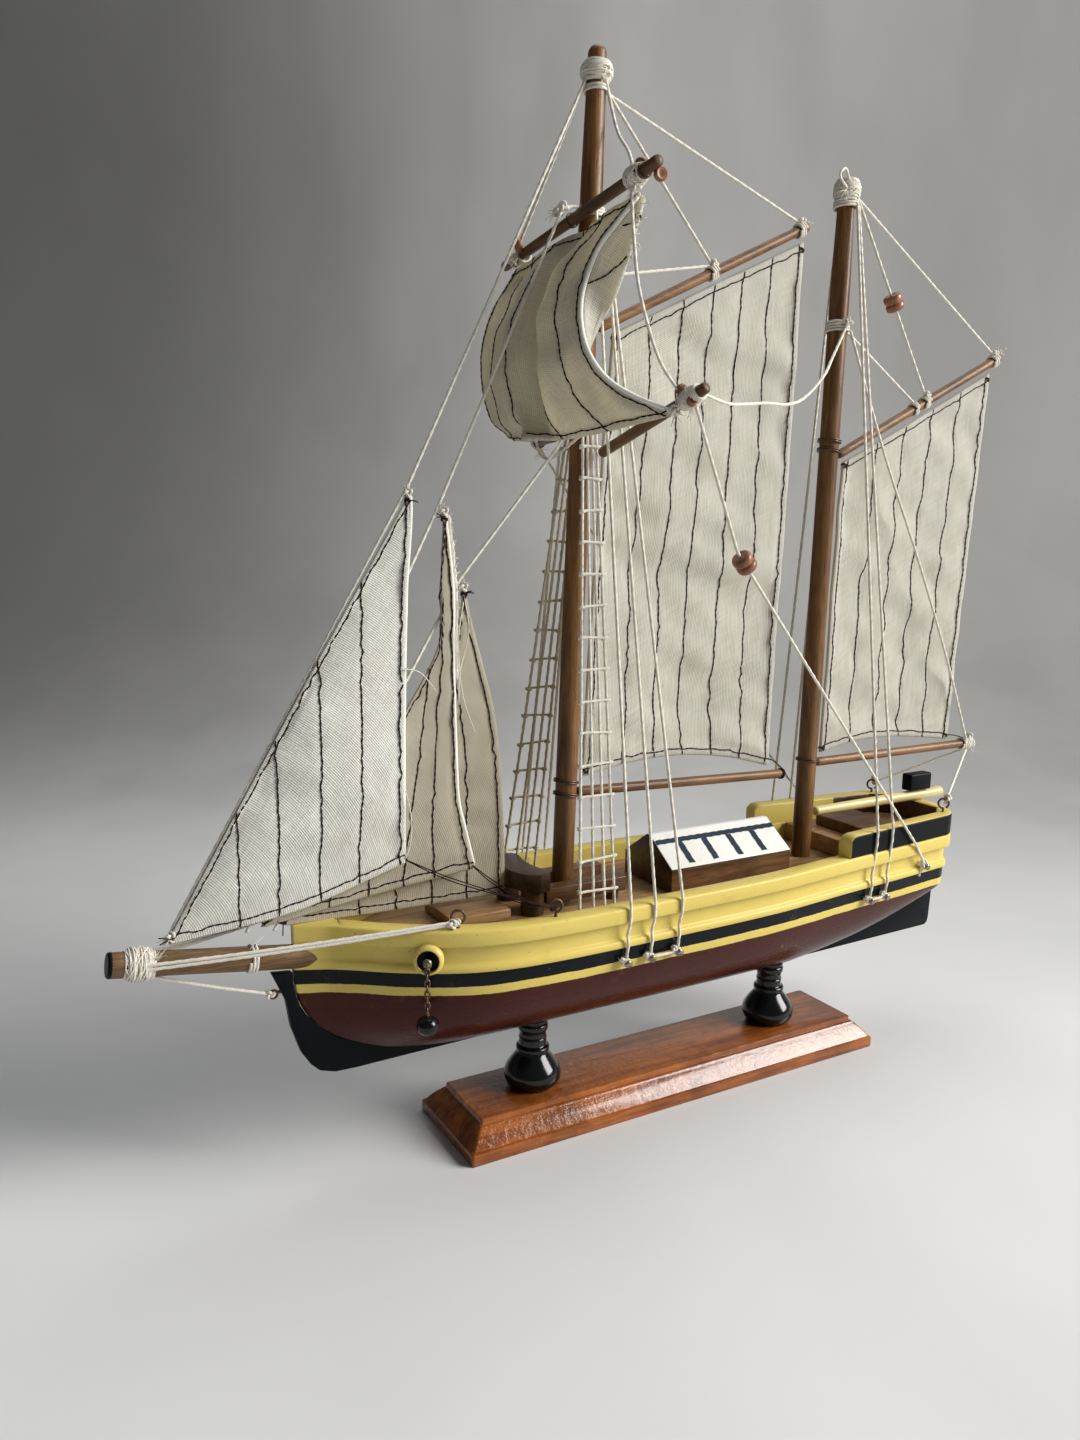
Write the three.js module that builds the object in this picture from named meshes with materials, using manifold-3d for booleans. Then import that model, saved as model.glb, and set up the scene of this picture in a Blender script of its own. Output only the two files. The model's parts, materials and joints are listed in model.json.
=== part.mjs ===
import * as THREE from 'three';
import { mergeVertices } from 'three/addons/utils/BufferGeometryUtils.js';
import Module from 'manifold-3d';

// Display model of a two-masted gaff sailing vessel on a turned stand.
// Millimetres. +X runs aft to the stern, -Y is the port side, +Z is up.
// The origin is the centre of the stand's underside.

const wasm = await Module();
wasm.setup();

// ---- driving dimensions ----

const STAND = { length: 155, width: 36, height: 10.4 };
// Moulding of the stand's edge: how far in from the edge, at what height.
const STAND_PROFILE = [[0, 0], [0, 3.4], [0.5, 4.0], [4.6, 8.4], [4.9, 8.8], [5.5, 9.0], [5.6, 10.4]];
const PEDESTAL = { foreX: -48.5, aftX: 45, topZ: 31.6 };
// Turned outline of a pedestal: radius, height above the stand.
const PEDESTAL_PROFILE = [
  [6.2, 0], [8.2, 1.2], [8.7, 3.4], [7.9, 6.2], [5.9, 9.2], [4.6, 10.8], [5.0, 11.4], [5.0, 12.4], [4.2, 13.0],
  [4.1, 17.0], [4.6, 18.0], [4.6, 21.0],
];

const RAIL_Z = 73.4;
const DECK_Z = 67.5;
const WALL = 6;
const WELL_FORE_X = -103;
const WELL_AFT_X = 109;
// Half breadth of the hull at the rail, by station.
const BREADTH = [
  [-121.6, 1.3], [-118, 3.0], [-113.5, 5.4], [-110, 8.3], [-107, 10.8], [-104.5, 12.9], [-100, 16.3],
  [-93, 20.8], [-88, 23.6], [-80, 27], [-70, 29.4], [-57, 30.5], [-40, 30.8], [-16, 30.6], [4, 30.3],
  [22, 29.6], [35, 28.3], [54, 26], [78, 23.6], [93, 22], [104, 20.8],
];
const STERN_ROUND = { x: 104, breadth: 20.8, depth: 12 };
// Height of the hull's underside on the centre line, by station.
const KEEL = [
  [-121.6, 58], [-121, 54], [-120, 51], [-118.3, 47.8], [-115, 44], [-110, 40.3], [-101, 36.6], [-91, 34],
  [-80, 32.5], [-66, 31.8], [-50, 31.7], [45, 31.7], [58, 33], [75, 36], [92, 41], [103, 46], [110, 51],
  [114, 56], [116, 60],
];
const STATIONS = [
  -121.6, -120.6, -118.3, -115, -110, -105, -99, -92, -84, -74, -63, -45, -15, 15, 35, 54, 70, 84, 96, 104,
  109, 112.5, 114.8, 115.9,
];
const BILGE = { z: 54.6, inset: 2.8, deadrise: 0.55, power: 5, flat: 4.5, steps: 6 };
// Topsides above the bilge: inset from the rail's half breadth, height.
const TOPSIDE = [
  [2.4, 61.2], [1.3, 61.5], [1.3, 63.2], [2.6, 64.0], [2.4, 68.6], [0, 69.2], [0, 72.8], [0.6, RAIL_Z],
];
const FULL_OFFSET_BREADTH = 12;

const PLATE_T = 2.6;
const STEM = { topZ: 61.2, foreX: -127.6, keelZ: 29.6, aftX: -57 };
const DEADWOOD = { foreX: 52, aftX: 122, keelZ: 30.8 };
const CLEAR = 0.3;

const BULWARK = { foreX: 54, topZ: 80.7, thickness: 5.3 };
const MAST_R = 3.2;
const MAST_TOP_R = 2.6;
const FOREMAST = { foot: [-39.3, 62], head: [-31.7, 304.4] };
const MIZZEN = { foot: [56.4, 60], head: [61.4, 286] };
const SOCKET_DEPTH = 6;
const BOWSPRIT = { tip: [-167.5, 71], heel: [-111, 63.2], radius: 3.2 };

const GAFF_R = 1.45;
const YARD_R = 1.5;
const CORD = 1.0;
const CORD_SIDES = 8;
const RATLINE_SIDES = 6;
const LASH_T = 0.8;
const CLOTH = 0.6;

// ---- materials ----

const paint = (hex) => new THREE.MeshStandardMaterial({ color: hex, roughness: 0.4 });
const VARNISH = paint(0x7a3216);
const BLACK = paint(0x14181c);
const YELLOW = paint(0xd8c678);
const OAK = paint(0x6b4526);
const WALNUT = paint(0x4a2c17);
const WHITE = paint(0xe8e6dc);
const CANVAS = new THREE.MeshStandardMaterial({ color: 0xe9e2cd, roughness: 0.95 });
const STRING = new THREE.MeshStandardMaterial({ color: 0xf1ede0, roughness: 0.9 });
const BRASS = new THREE.MeshStandardMaterial({ color: 0xb8923a, roughness: 0.35, metalness: 1 });
const WIRE = new THREE.MeshStandardMaterial({ color: 0x3a332c, roughness: 0.4, metalness: 1 });

// ---- helpers ----

const v = (x, y, z) => new THREE.Vector3(x, y, z);
const group = new THREE.Group();

function add(name, geometry, material) {
  const mesh = new THREE.Mesh(geometry, material);
  mesh.name = name;
  group.add(mesh);
}

function solid(geometry) {
  const bare = new THREE.BufferGeometry();
  bare.setAttribute('position', geometry.getAttribute('position').clone());
  bare.setIndex(geometry.index);
  const merged = mergeVertices(bare, 1e-4);
  return new wasm.Manifold(new wasm.Mesh({
    numProp: 3,
    vertProperties: new Float32Array(merged.getAttribute('position').array),
    triVerts: new Uint32Array(merged.index.array),
  }));
}

function toGeometry(body) {
  const mesh = body.getMesh();
  const geometry = new THREE.BufferGeometry();
  geometry.setAttribute('position', new THREE.BufferAttribute(new Float32Array(mesh.vertProperties), 3));
  geometry.setIndex(new THREE.BufferAttribute(new Uint32Array(mesh.triVerts), 1));
  geometry.computeVertexNormals();
  return geometry;
}

const join = (bodies) => bodies.reduce((a, b) => a.add(b));

// Smooth curve through [x, value] rows.
function along(rows, x) {
  const last = rows.length - 1;
  if (x <= rows[0][0]) return rows[0][1];
  if (x >= rows[last][0]) return rows[last][1];
  const i = rows.findIndex((row) => row[0] > x) - 1;
  const slope = (a, b) => (rows[b][1] - rows[a][1]) / (rows[b][0] - rows[a][0]);
  const m0 = slope(Math.max(0, i - 1), i + 1);
  const m1 = slope(i, Math.min(last, i + 2));
  const h = rows[i + 1][0] - rows[i][0];
  const t = (x - rows[i][0]) / h;
  const a = (1 + 2 * t) * (1 - t) ** 2 * rows[i][1] + t * (1 - t) ** 2 * h * m0;
  return a + t * t * (3 - 2 * t) * rows[i + 1][1] + t * t * (t - 1) * h * m1;
}

function breadth(x) {
  if (x <= STERN_ROUND.x) return along(BREADTH, x);
  const t = Math.min(1, (x - STERN_ROUND.x) / STERN_ROUND.depth);
  return STERN_ROUND.breadth * Math.sqrt(1 - t * t);
}

// Closed solid skinned over rings of equal count, capped at both ends.
function loft(rings) {
  const n = rings[0].length;
  const positions = rings.flat().flatMap((p) => [p.x, p.y, p.z]);
  const index = [];
  for (let i = 0; i + 1 < rings.length; i += 1) {
    for (let j = 0; j < n; j += 1) {
      const k = (j + 1) % n;
      const [a, b, c, d] = [i * n + j, i * n + k, (i + 1) * n + k, (i + 1) * n + j];
      index.push(a, b, c, a, c, d);
    }
  }
  for (const [ring, start, flip] of [[rings[0], 0, true], [rings.at(-1), (rings.length - 1) * n, false]]) {
    const centre = ring.reduce((sum, p) => sum.clone().add(p), v(0, 0, 0)).divideScalar(n);
    const hub = positions.length / 3;
    positions.push(centre.x, centre.y, centre.z);
    for (let j = 0; j < n; j += 1) {
      const [a, b] = [start + j, start + ((j + 1) % n)];
      index.push(...(flip ? [hub, b, a] : [hub, a, b]));
    }
  }
  const geometry = new THREE.BufferGeometry();
  geometry.setAttribute('position', new THREE.Float32BufferAttribute(positions, 3));
  geometry.setIndex(index);
  return geometry;
}

function outward(geometry) {
  const body = solid(geometry);
  return body.volume() < 0 ? solid(flipped(geometry)) : body;
}

function flipped(geometry) {
  const copy = geometry.clone();
  const index = Array.from(copy.index.array);
  for (let i = 0; i < index.length; i += 3) {
    [index[i], index[i + 1]] = [index[i + 1], index[i]];
  }
  copy.setIndex(index);
  return copy;
}

// Solid of a flat outline [[x, y], ...] between two heights.
function slab(outline, z0, z1) {
  const shape = new THREE.Shape(outline.map(([x, y]) => new THREE.Vector2(x, y)));
  const geometry = new THREE.ExtrudeGeometry(shape, { depth: z1 - z0, bevelEnabled: false });
  return solid(geometry.translate(0, 0, z0));
}

// Solid of an outline [[x, z], ...] in the centre plane, thickness across it.
function plate(outline, thickness) {
  const shape = new THREE.Shape(outline.map(([x, z]) => new THREE.Vector2(x, z)));
  const geometry = new THREE.ExtrudeGeometry(shape, { depth: thickness, bevelEnabled: false });
  return solid(geometry.translate(0, 0, -thickness / 2).rotateX(Math.PI / 2));
}

function turned(profile, segments = 18) {
  const points = profile.map(([r, z]) => new THREE.Vector2(r, z));
  return solid(new THREE.LatheGeometry(points, segments).rotateX(Math.PI / 2));
}

// Turned body whose own axis is laid from a to b.
function turnedAlong(profile, a, b, segments = 20) {
  const q = new THREE.Quaternion().setFromUnitVectors(v(0, 0, 1), b.clone().sub(a).normalize());
  const points = profile.map(([r, z]) => new THREE.Vector2(r, z));
  const geometry = new THREE.LatheGeometry(points, segments).rotateX(Math.PI / 2);
  return solid(geometry.applyQuaternion(q).translate(a.x, a.y, a.z));
}

// Round stick from a to b with slightly eased ends.
function stick(a, b, ra, rb = ra, segments = 12) {
  const length = a.distanceTo(b);
  const ease = 0.4;
  const profile = [
    [0, 0], [ra - ease, 0], [ra, ease], [rb, length - ease], [rb - ease, length], [0, length],
  ];
  return turnedAlong(profile, a, b, segments);
}

// Cord laid straight from point to point.
function cord(points, diameter = CORD, sides = CORD_SIDES) {
  const overlap = diameter * 0.3;
  const circle = new THREE.Shape().absarc(0, 0, diameter / 2, 0, Math.PI * 2);
  const pieces = points.slice(1).map((end, i) => {
    const step = end.clone().sub(points[i]).normalize().multiplyScalar(overlap);
    const path = new THREE.LineCurve3(points[i].clone().sub(step), end.clone().add(step));
    return solid(new THREE.ExtrudeGeometry(circle, {
      steps: 1, curveSegments: sides / 2, extrudePath: path, bevelEnabled: false,
    }));
  });
  return join(pieces);
}

// Band of lashing round an axis through two points, centred on the first.
function band(centre, towards, inner, outer, length) {
  const axis = towards.clone().sub(centre).normalize().multiplyScalar(length / 2);
  const profile = [[inner, 0], [outer, 0], [outer, length], [inner, length], [inner, 0]];
  return turnedAlong(profile, centre.clone().sub(axis), centre.clone().add(axis), 12);
}

const mirrorY = (p) => v(p.x, -p.y, p.z);
const mastAt = (mast, z, y = 0, dx = 0) => {
  const t = (z - mast.foot[1]) / (mast.head[1] - mast.foot[1]);
  return v(mast.foot[0] + t * (mast.head[0] - mast.foot[0]) + dx, y, z);
};

// ---- stand ----

function standRing(inset, z) {
  const [x, y] = [STAND.length / 2 - inset, STAND.width / 2 - inset];
  return [v(-x, -y, z), v(x, -y, z), v(x, y, z), v(-x, y, z)];
}
add('stand_base', toGeometry(outward(loft(STAND_PROFILE.map(([inset, z]) => standRing(inset, z))))), VARNISH);

const pedestal = turned([[0, 0], ...PEDESTAL_PROFILE, [0, PEDESTAL_PROFILE.at(-1)[1]]]);
for (const [name, x] of [['pedestal_fore', PEDESTAL.foreX], ['pedestal_aft', PEDESTAL.aftX]]) {
  add(name, toGeometry(pedestal.translate([x, 0, STAND.height])), BLACK);
}

// ---- hull ----

function halfSection(x) {
  const b = breadth(x);
  const k = Math.min(1, b / FULL_OFFSET_BREADTH);
  const keel = along(KEEL, x);
  const flat = Math.min(BILGE.flat, b / 4);
  const bilgeB = b - BILGE.inset * k;
  const bilgeZ = Math.max(BILGE.z, keel + 1);
  const points = [];
  for (let i = 0; i < BILGE.steps; i += 1) {
    const t = i / (BILGE.steps - 1);
    const rise = BILGE.deadrise * t + (1 - BILGE.deadrise) * t ** BILGE.power;
    points.push([flat + (bilgeB - flat) * t, keel + (bilgeZ - keel) * rise]);
  }
  TOPSIDE.forEach(([inset, z], i) => points.push([b - inset * k, Math.max(z, bilgeZ + (i + 1) * 0.1)]));
  return points;
}

function hullRing(x) {
  const half = halfSection(x);
  const port = half.map(([y, z]) => v(x, -y, z));
  const starboard = half.map(([y, z]) => v(x, y, z)).reverse();
  return [...port, ...starboard];
}

// Plan outline a fixed distance inside the rail, between two stations.
function planOutline(inset, x0, x1, step = 4) {
  const xs = [];
  for (let x = x0; x < x1; x += step) xs.push(x);
  xs.push(x1);
  const port = xs.map((x) => [x, -(breadth(x) - inset)]);
  return [...port, ...port.map(([x, y]) => [x, -y]).reverse()];
}

const axisY0 = ([x, z]) => v(x, 0, z);
const mastHole = (mast, r) => stick(axisY0(mast.foot).setZ(DECK_Z - SOCKET_DEPTH), mastAt(mast, DECK_Z + 9), r);
const spritHole = stick(
  axisY0(BOWSPRIT.tip),
  axisY0(BOWSPRIT.heel).add(v(1, 0, 0)),
  BOWSPRIT.radius + CLEAR,
);
const well = slab(planOutline(WALL, WELL_FORE_X, WELL_AFT_X), DECK_Z, RAIL_Z + 5);
const hull = outward(loft(STATIONS.map(hullRing)))
  .subtract(well)
  .subtract(mastHole(FOREMAST, MAST_R + CLEAR))
  .subtract(mastHole(MIZZEN, MAST_R + CLEAR))
  .subtract(spritHole);
add('hull', toGeometry(hull), YELLOW);

// ---- stem, forefoot and deadwood plates ----

const keelUnder = (x) => along(KEEL, x) - CLEAR;
const stemXs = [-118.3, -115, -110, -105, -101, -96, -91, -85, -80, -73, -66, -60];
const stemOutline = [
  [STEM.foreX, STEM.topZ], [-124, 53], [-122.8, 45.2], [-120.2, 37.4], [-117.8, 33.6], [-115.3, 31.2],
  [-111, 29.8], [-105, STEM.keelZ], [-70, STEM.keelZ + 0.4], [STEM.aftX, keelUnder(STEM.aftX) - 0.4],
  ...stemXs.map((x) => [x, keelUnder(x)]).reverse(),
  [-120.3, 51], [-121.3, 54], [-122, 58], [-122, STEM.topZ - 0.6],
];
add('stem_plate', toGeometry(plate(stemOutline, PLATE_T)), BLACK);

const deadwoodXs = [58, 66, 75, 84, 92, 98, 103, 107, 110, 113];
const deadwoodOutline = [
  [DEADWOOD.foreX, DEADWOOD.keelZ], [DEADWOOD.aftX - 2, DEADWOOD.keelZ + 0.9],
  [DEADWOOD.aftX - 0.5, DEADWOOD.keelZ + 1.8], [DEADWOOD.aftX, DEADWOOD.keelZ + 4],
  [DEADWOOD.aftX + 1.2, 54], [116.5, 56.5],
  ...deadwoodXs.map((x) => [x, keelUnder(x)]).reverse(),
  [DEADWOOD.foreX, keelUnder(DEADWOOD.foreX)],
];
add('deadwood_plate', toGeometry(plate(deadwoodOutline, PLATE_T)), BLACK);

// ---- quarter bulwark ----

const bulwarkOuter = slab(planOutline(0.1, BULWARK.foreX, 115.6, 2), RAIL_Z + 0.05, BULWARK.topZ);
const bulwarkInner = slab(
  planOutline(BULWARK.thickness, BULWARK.foreX - 1, 110.6, 2),
  RAIL_Z - 1,
  BULWARK.topZ + 1,
);
add('quarter_bulwark', toGeometry(bulwarkOuter.subtract(bulwarkInner)), BLACK);

// ---- deck furniture ----

const box = (x0, x1, y0, y1, z0, z1) => slab([[x0, y0], [x1, y0], [x1, y1], [x0, y1]], z0, z1);
const ON_DECK = DECK_Z + 0.05;

add('foredeck_block', toGeometry(box(-80, -61, -9, 9, ON_DECK, 70.6)), OAK);

const BEAM = { x: -51.5, halfX: 4.2, halfY: 12, z0: 74.8, z1: 80, bow: 3.2 };
function beamOutline() {
  const outline = [];
  const steps = 12;
  for (let i = 0; i <= steps; i += 1) {
    const y = BEAM.halfY * (1 - (2 * i) / steps);
    const lean = BEAM.bow * (1 - (y / BEAM.halfY) ** 2);
    const half = BEAM.halfX * Math.min(1, Math.sqrt(Math.max(0.12, 1 - (y / (BEAM.halfY + 0.2)) ** 6)));
    outline.push([BEAM.x - lean - half, y, BEAM.x - lean + half]);
  }
  return [...outline.map(([a, y]) => [a, y]), ...outline.map(([, y, b]) => [b, y]).reverse()];
}
const bitt = turned([[0, 0], [3.4, 0], [3.4, 8], [0, 8]], 20);
const beam = join([
  slab(beamOutline(), BEAM.z0, BEAM.z1),
  bitt.translate([-53.4, -7.6, ON_DECK]),
  bitt.translate([-53.4, 7.6, ON_DECK]),
]);
add('windlass_beam', toGeometry(beam), WALNUT);

for (const [name, side] of [['fife_rail_port', -1], ['fife_rail_starboard', 1]]) {
  const ys = [side * 4.5, side * 9.2].sort((a, b) => a - b);
  const rail = box(-49.6, -22, ys[0], ys[1], 70.0, 74.5);
  const post = turned([[0, 0], [1.9, 0], [1.9, 4], [0, 4]], 16).translate([-25.4, side * 6.9, ON_DECK]);
  add(name, toGeometry(rail.add(post)), OAK);
}

const HOUSE = { x0: -7.7, x1: 40, half: 12.7, eaveZ: 75.2, ridgeZ: 83.3 };
const gable = [
  [-HOUSE.half, ON_DECK], [HOUSE.half, ON_DECK], [HOUSE.half, HOUSE.eaveZ], [0.8, HOUSE.ridgeZ],
  [-0.8, HOUSE.ridgeZ], [-HOUSE.half, HOUSE.eaveZ],
];
const houseRing = (x) => gable.map(([y, z]) => v(x, y, z));
add('deckhouse', toGeometry(outward(loft([houseRing(HOUSE.x0), houseRing(HOUSE.x1)]))), WHITE);

const POOP = { x0: 65.8, x1: 108.4, z1: 73.6, boxX0: 73.5, boxX1: 91, boxHalf: 11, boxZ1: 77.5 };
const poopDeck = slab(planOutline(WALL + CLEAR, POOP.x0, POOP.x1, 3), ON_DECK, POOP.z1);
add('poop_step', toGeometry(poopDeck), OAK);
const locker = box(POOP.boxX0, POOP.boxX1, -POOP.boxHalf, POOP.boxHalf, POOP.z1 + 0.05, POOP.boxZ1);
add('poop_locker', toGeometry(locker), WALNUT);

const TILLER = { fore: v(61.9, 0, 82.4), aft: v(125, 0, 82.8), r0: 1.6, r1: 1.95 };
add('tiller', toGeometry(stick(TILLER.fore, TILLER.aft, TILLER.r0, TILLER.r1)), YELLOW);
add('rudder_head', toGeometry(box(106.4, 117.2, -2.2, 2.2, 84.85, 91)), BLACK);

// ---- hawse rings, chains and anchors ----

const HAWSE = { x: -92, z: 65.9, ringR: 4.1, holeR: 2.8, depth: 1.5 };
const hawseY = breadth(HAWSE.x);
const tangent = (breadth(HAWSE.x + 2) - breadth(HAWSE.x - 2)) / 4;
const hawseNormal = v(-tangent, -1, 0).normalize();
const hawseCentre = v(HAWSE.x, -hawseY, HAWSE.z).add(hawseNormal.clone().multiplyScalar(0.5));

function hawse(centre, normal) {
  const { ringR, holeR, depth } = HAWSE;
  const profile = [
    [0, 0], [ringR, 0], [ringR, depth * 0.5], [ringR - 0.6, depth], [holeR, depth], [holeR, 0.5],
    [1.1, 0.5], [1.1, 1.1], [0.7, 1.6], [0, 1.8],
  ];
  return turnedAlong(profile, centre, centre.clone().add(normal), 14);
}

const CHAIN = { links: 6, pitch: 2.05, ringR: 0.9, wireR: 0.32, top: 1.5 };
const ANCHOR_R = 2.9;
const hangPoint = hawseCentre.clone().add(hawseNormal.clone().multiplyScalar(HAWSE.depth + 1.25));

function chain(top, normal) {
  const links = [];
  for (let i = 0; i < CHAIN.links; i += 1) {
    const link = new THREE.TorusGeometry(CHAIN.ringR, CHAIN.wireR, 4, 8).scale(0.85, 1.4, 1);
    link.rotateX(Math.PI / 2).rotateZ(Math.atan2(normal.y, normal.x) + (i % 2 ? 0 : Math.PI / 2));
    links.push(solid(link.translate(top.x, top.y, top.z - CHAIN.top - i * CHAIN.pitch)));
  }
  return join(links);
}

function anchor(top) {
  const z = top.z - CHAIN.top - CHAIN.links * CHAIN.pitch - ANCHOR_R - 0.2;
  const ball = new THREE.SphereGeometry(ANCHOR_R, 14, 10).scale(1, 1, 0.9);
  return solid(ball.translate(top.x, top.y, z));
}

for (const [side, flip] of [['port', (p) => p], ['starboard', mirrorY]]) {
  const [centre, normal, top] = [flip(hawseCentre), flip(hawseNormal), flip(hangPoint)];
  add(`hawse_${side}`, toGeometry(hawse(centre, normal)), BRASS);
  add(`anchor_chain_${side}`, toGeometry(chain(top, normal)), WIRE);
  add(`anchor_${side}`, toGeometry(anchor(top)), BLACK);
}

// ---- screw eyes ----

const EYE = { r: 1.75, wire: 0.38, shank: 1.2 };
// Ring on a shank; the shank points along `down`, the ring faces `face`.
function screwEye(base, up, face) {
  const ring = new THREE.TorusGeometry(EYE.r, EYE.wire, 6, 12);
  const turn = new THREE.Quaternion().setFromUnitVectors(v(0, 0, 1), face.clone().normalize());
  const centre = base.clone().addScaledVector(up, EYE.shank + EYE.r);
  ring.applyQuaternion(turn).translate(centre.x, centre.y, centre.z);
  return solid(ring).add(stick(base, base.clone().addScaledVector(up, EYE.shank + 0.2), 0.45, 0.45, 10));
}

const UP = v(0, 0, 1);
const eyeBase = {
  bow: v(-84, -22.4, RAIL_Z + 0.05),
  waist: v(-57, -27, RAIL_Z + 0.05),
  stern: v(107, -16.6, BULWARK.topZ + 0.05),
};
add('eye_bow_port', toGeometry(screwEye(eyeBase.bow, UP, v(0.5, 1, 0))), WIRE);
add('eye_bow_starboard', toGeometry(screwEye(mirrorY(eyeBase.bow), UP, v(-0.5, 1, 0))), WIRE);
add('eye_waist_port', toGeometry(screwEye(eyeBase.waist, UP, v(0.3, 1, 0))), WIRE);
add('eye_stern_port', toGeometry(screwEye(eyeBase.stern, UP, v(0.7, 1, 0))), WIRE);
add('eye_stern_starboard', toGeometry(screwEye(mirrorY(eyeBase.stern), UP, v(-0.7, 1, 0))), WIRE);
const stemEyeBase = v(-125.3, 0, 55.6);
const stemEye = v(-130, 0, 54.4);
add('eye_stem', toGeometry(screwEye(stemEyeBase, stemEye.clone().sub(stemEyeBase).normalize(), v(0, 1, 0))), WIRE);

// ---- spars ----

function mast(spec) {
  const [foot, head] = [mastAt(spec, DECK_Z - SOCKET_DEPTH + 0.6), axisY0(spec.head)];
  const length = foot.distanceTo(head);
  const profile = [
    [0, 0], [MAST_R, 0], [MAST_R, length * 0.86], [MAST_TOP_R, length - 1.6], [MAST_TOP_R - 0.9, length - 0.4],
    [0, length],
  ];
  return turnedAlong(profile, foot, head, 18);
}
add('foremast', toGeometry(mast(FOREMAST)), WALNUT);
add('mizzen_mast', toGeometry(mast(MIZZEN)), WALNUT);
const sprit = stick(axisY0(BOWSPRIT.tip), axisY0(BOWSPRIT.heel), BOWSPRIT.radius - 0.3, BOWSPRIT.radius, 18);
add('bowsprit', toGeometry(sprit), WALNUT);

const SPARS = {
  main_gaff: [v(-29.9, 0, 232.2), v(45.7, 0, 269.5)],
  main_boom: [v(-34.2, 0, 99.9), v(46.8, 0, 97.3)],
  mizzen_gaff: [v(63.6, 0, 201.8), v(138.6, 0, 238.8)],
  mizzen_boom: [v(61.2, 0, 99.8), v(140.4, 0, 99.9)],
  upper_yard: [v(-40.9, -42.8, 262.7), v(-37.0, 42.8, 255.9)],
  lower_yard_port: [v(-32.4, -6.8, 197.7), v(-26.8, -46, 211.8)],
  lower_yard_starboard: [v(-40.8, 4.6, 202.6), v(-25, 43.5, 204.2)],
};
for (const [name, [a, b]] of Object.entries(SPARS)) {
  add(name, toGeometry(stick(a, b, name.endsWith('gaff') ? GAFF_R : YARD_R)), OAK);
}

// ---- sails ----

// Smooth surface through a net of points, given thickness both ways.
function cloth(net, nu = 6, nv = 6) {
  const rows = net.map((row) => new THREE.CatmullRomCurve3(row.map((p) => v(...p))));
  const grid = [];
  for (let i = 0; i <= nu; i += 1) {
    const column = new THREE.CatmullRomCurve3(rows.map((row) => row.getPoint(i / nu)));
    grid.push(Array.from({ length: nv + 1 }, (_, j) => column.getPoint(j / nv)));
  }
  return outward(thicken(grid, CLOTH / 2));
}

function thicken(grid, half) {
  const [nu, nv] = [grid.length - 1, grid[0].length - 1];
  const at = (i, j) => grid[Math.min(nu, Math.max(0, i))][Math.min(nv, Math.max(0, j))];
  const positions = [];
  for (const side of [1, -1]) {
    for (let i = 0; i <= nu; i += 1) {
      for (let j = 0; j <= nv; j += 1) {
        const du = at(i + 1, j).clone().sub(at(i - 1, j));
        const dv = at(i, j + 1).clone().sub(at(i, j - 1));
        const p = at(i, j).clone().addScaledVector(du.cross(dv).normalize(), side * half);
        positions.push(p.x, p.y, p.z);
      }
    }
  }
  const count = (nu + 1) * (nv + 1);
  const id = (i, j, back) => i * (nv + 1) + j + (back ? count : 0);
  const index = [];
  for (let i = 0; i < nu; i += 1) {
    for (let j = 0; j < nv; j += 1) {
      const [a, b, c, d] = [[i, j], [i + 1, j], [i + 1, j + 1], [i, j + 1]];
      index.push(id(...a), id(...b), id(...c), id(...a), id(...c), id(...d));
      index.push(id(...a, 1), id(...c, 1), id(...b, 1), id(...a, 1), id(...d, 1), id(...c, 1));
    }
  }
  const rim = [];
  for (let i = 0; i < nu; i += 1) rim.push([i, 0]);
  for (let j = 0; j < nv; j += 1) rim.push([nu, j]);
  for (let i = nu; i > 0; i -= 1) rim.push([i, nv]);
  for (let j = nv; j > 0; j -= 1) rim.push([0, j]);
  rim.forEach((a, k) => {
    const b = rim[(k + 1) % rim.length];
    index.push(id(...b), id(...a), id(...a, 1), id(...b), id(...a, 1), id(...b, 1));
  });
  const geometry = new THREE.BufferGeometry();
  geometry.setAttribute('position', new THREE.Float32BufferAttribute(positions, 3));
  geometry.setIndex(index);
  return geometry;
}

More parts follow.
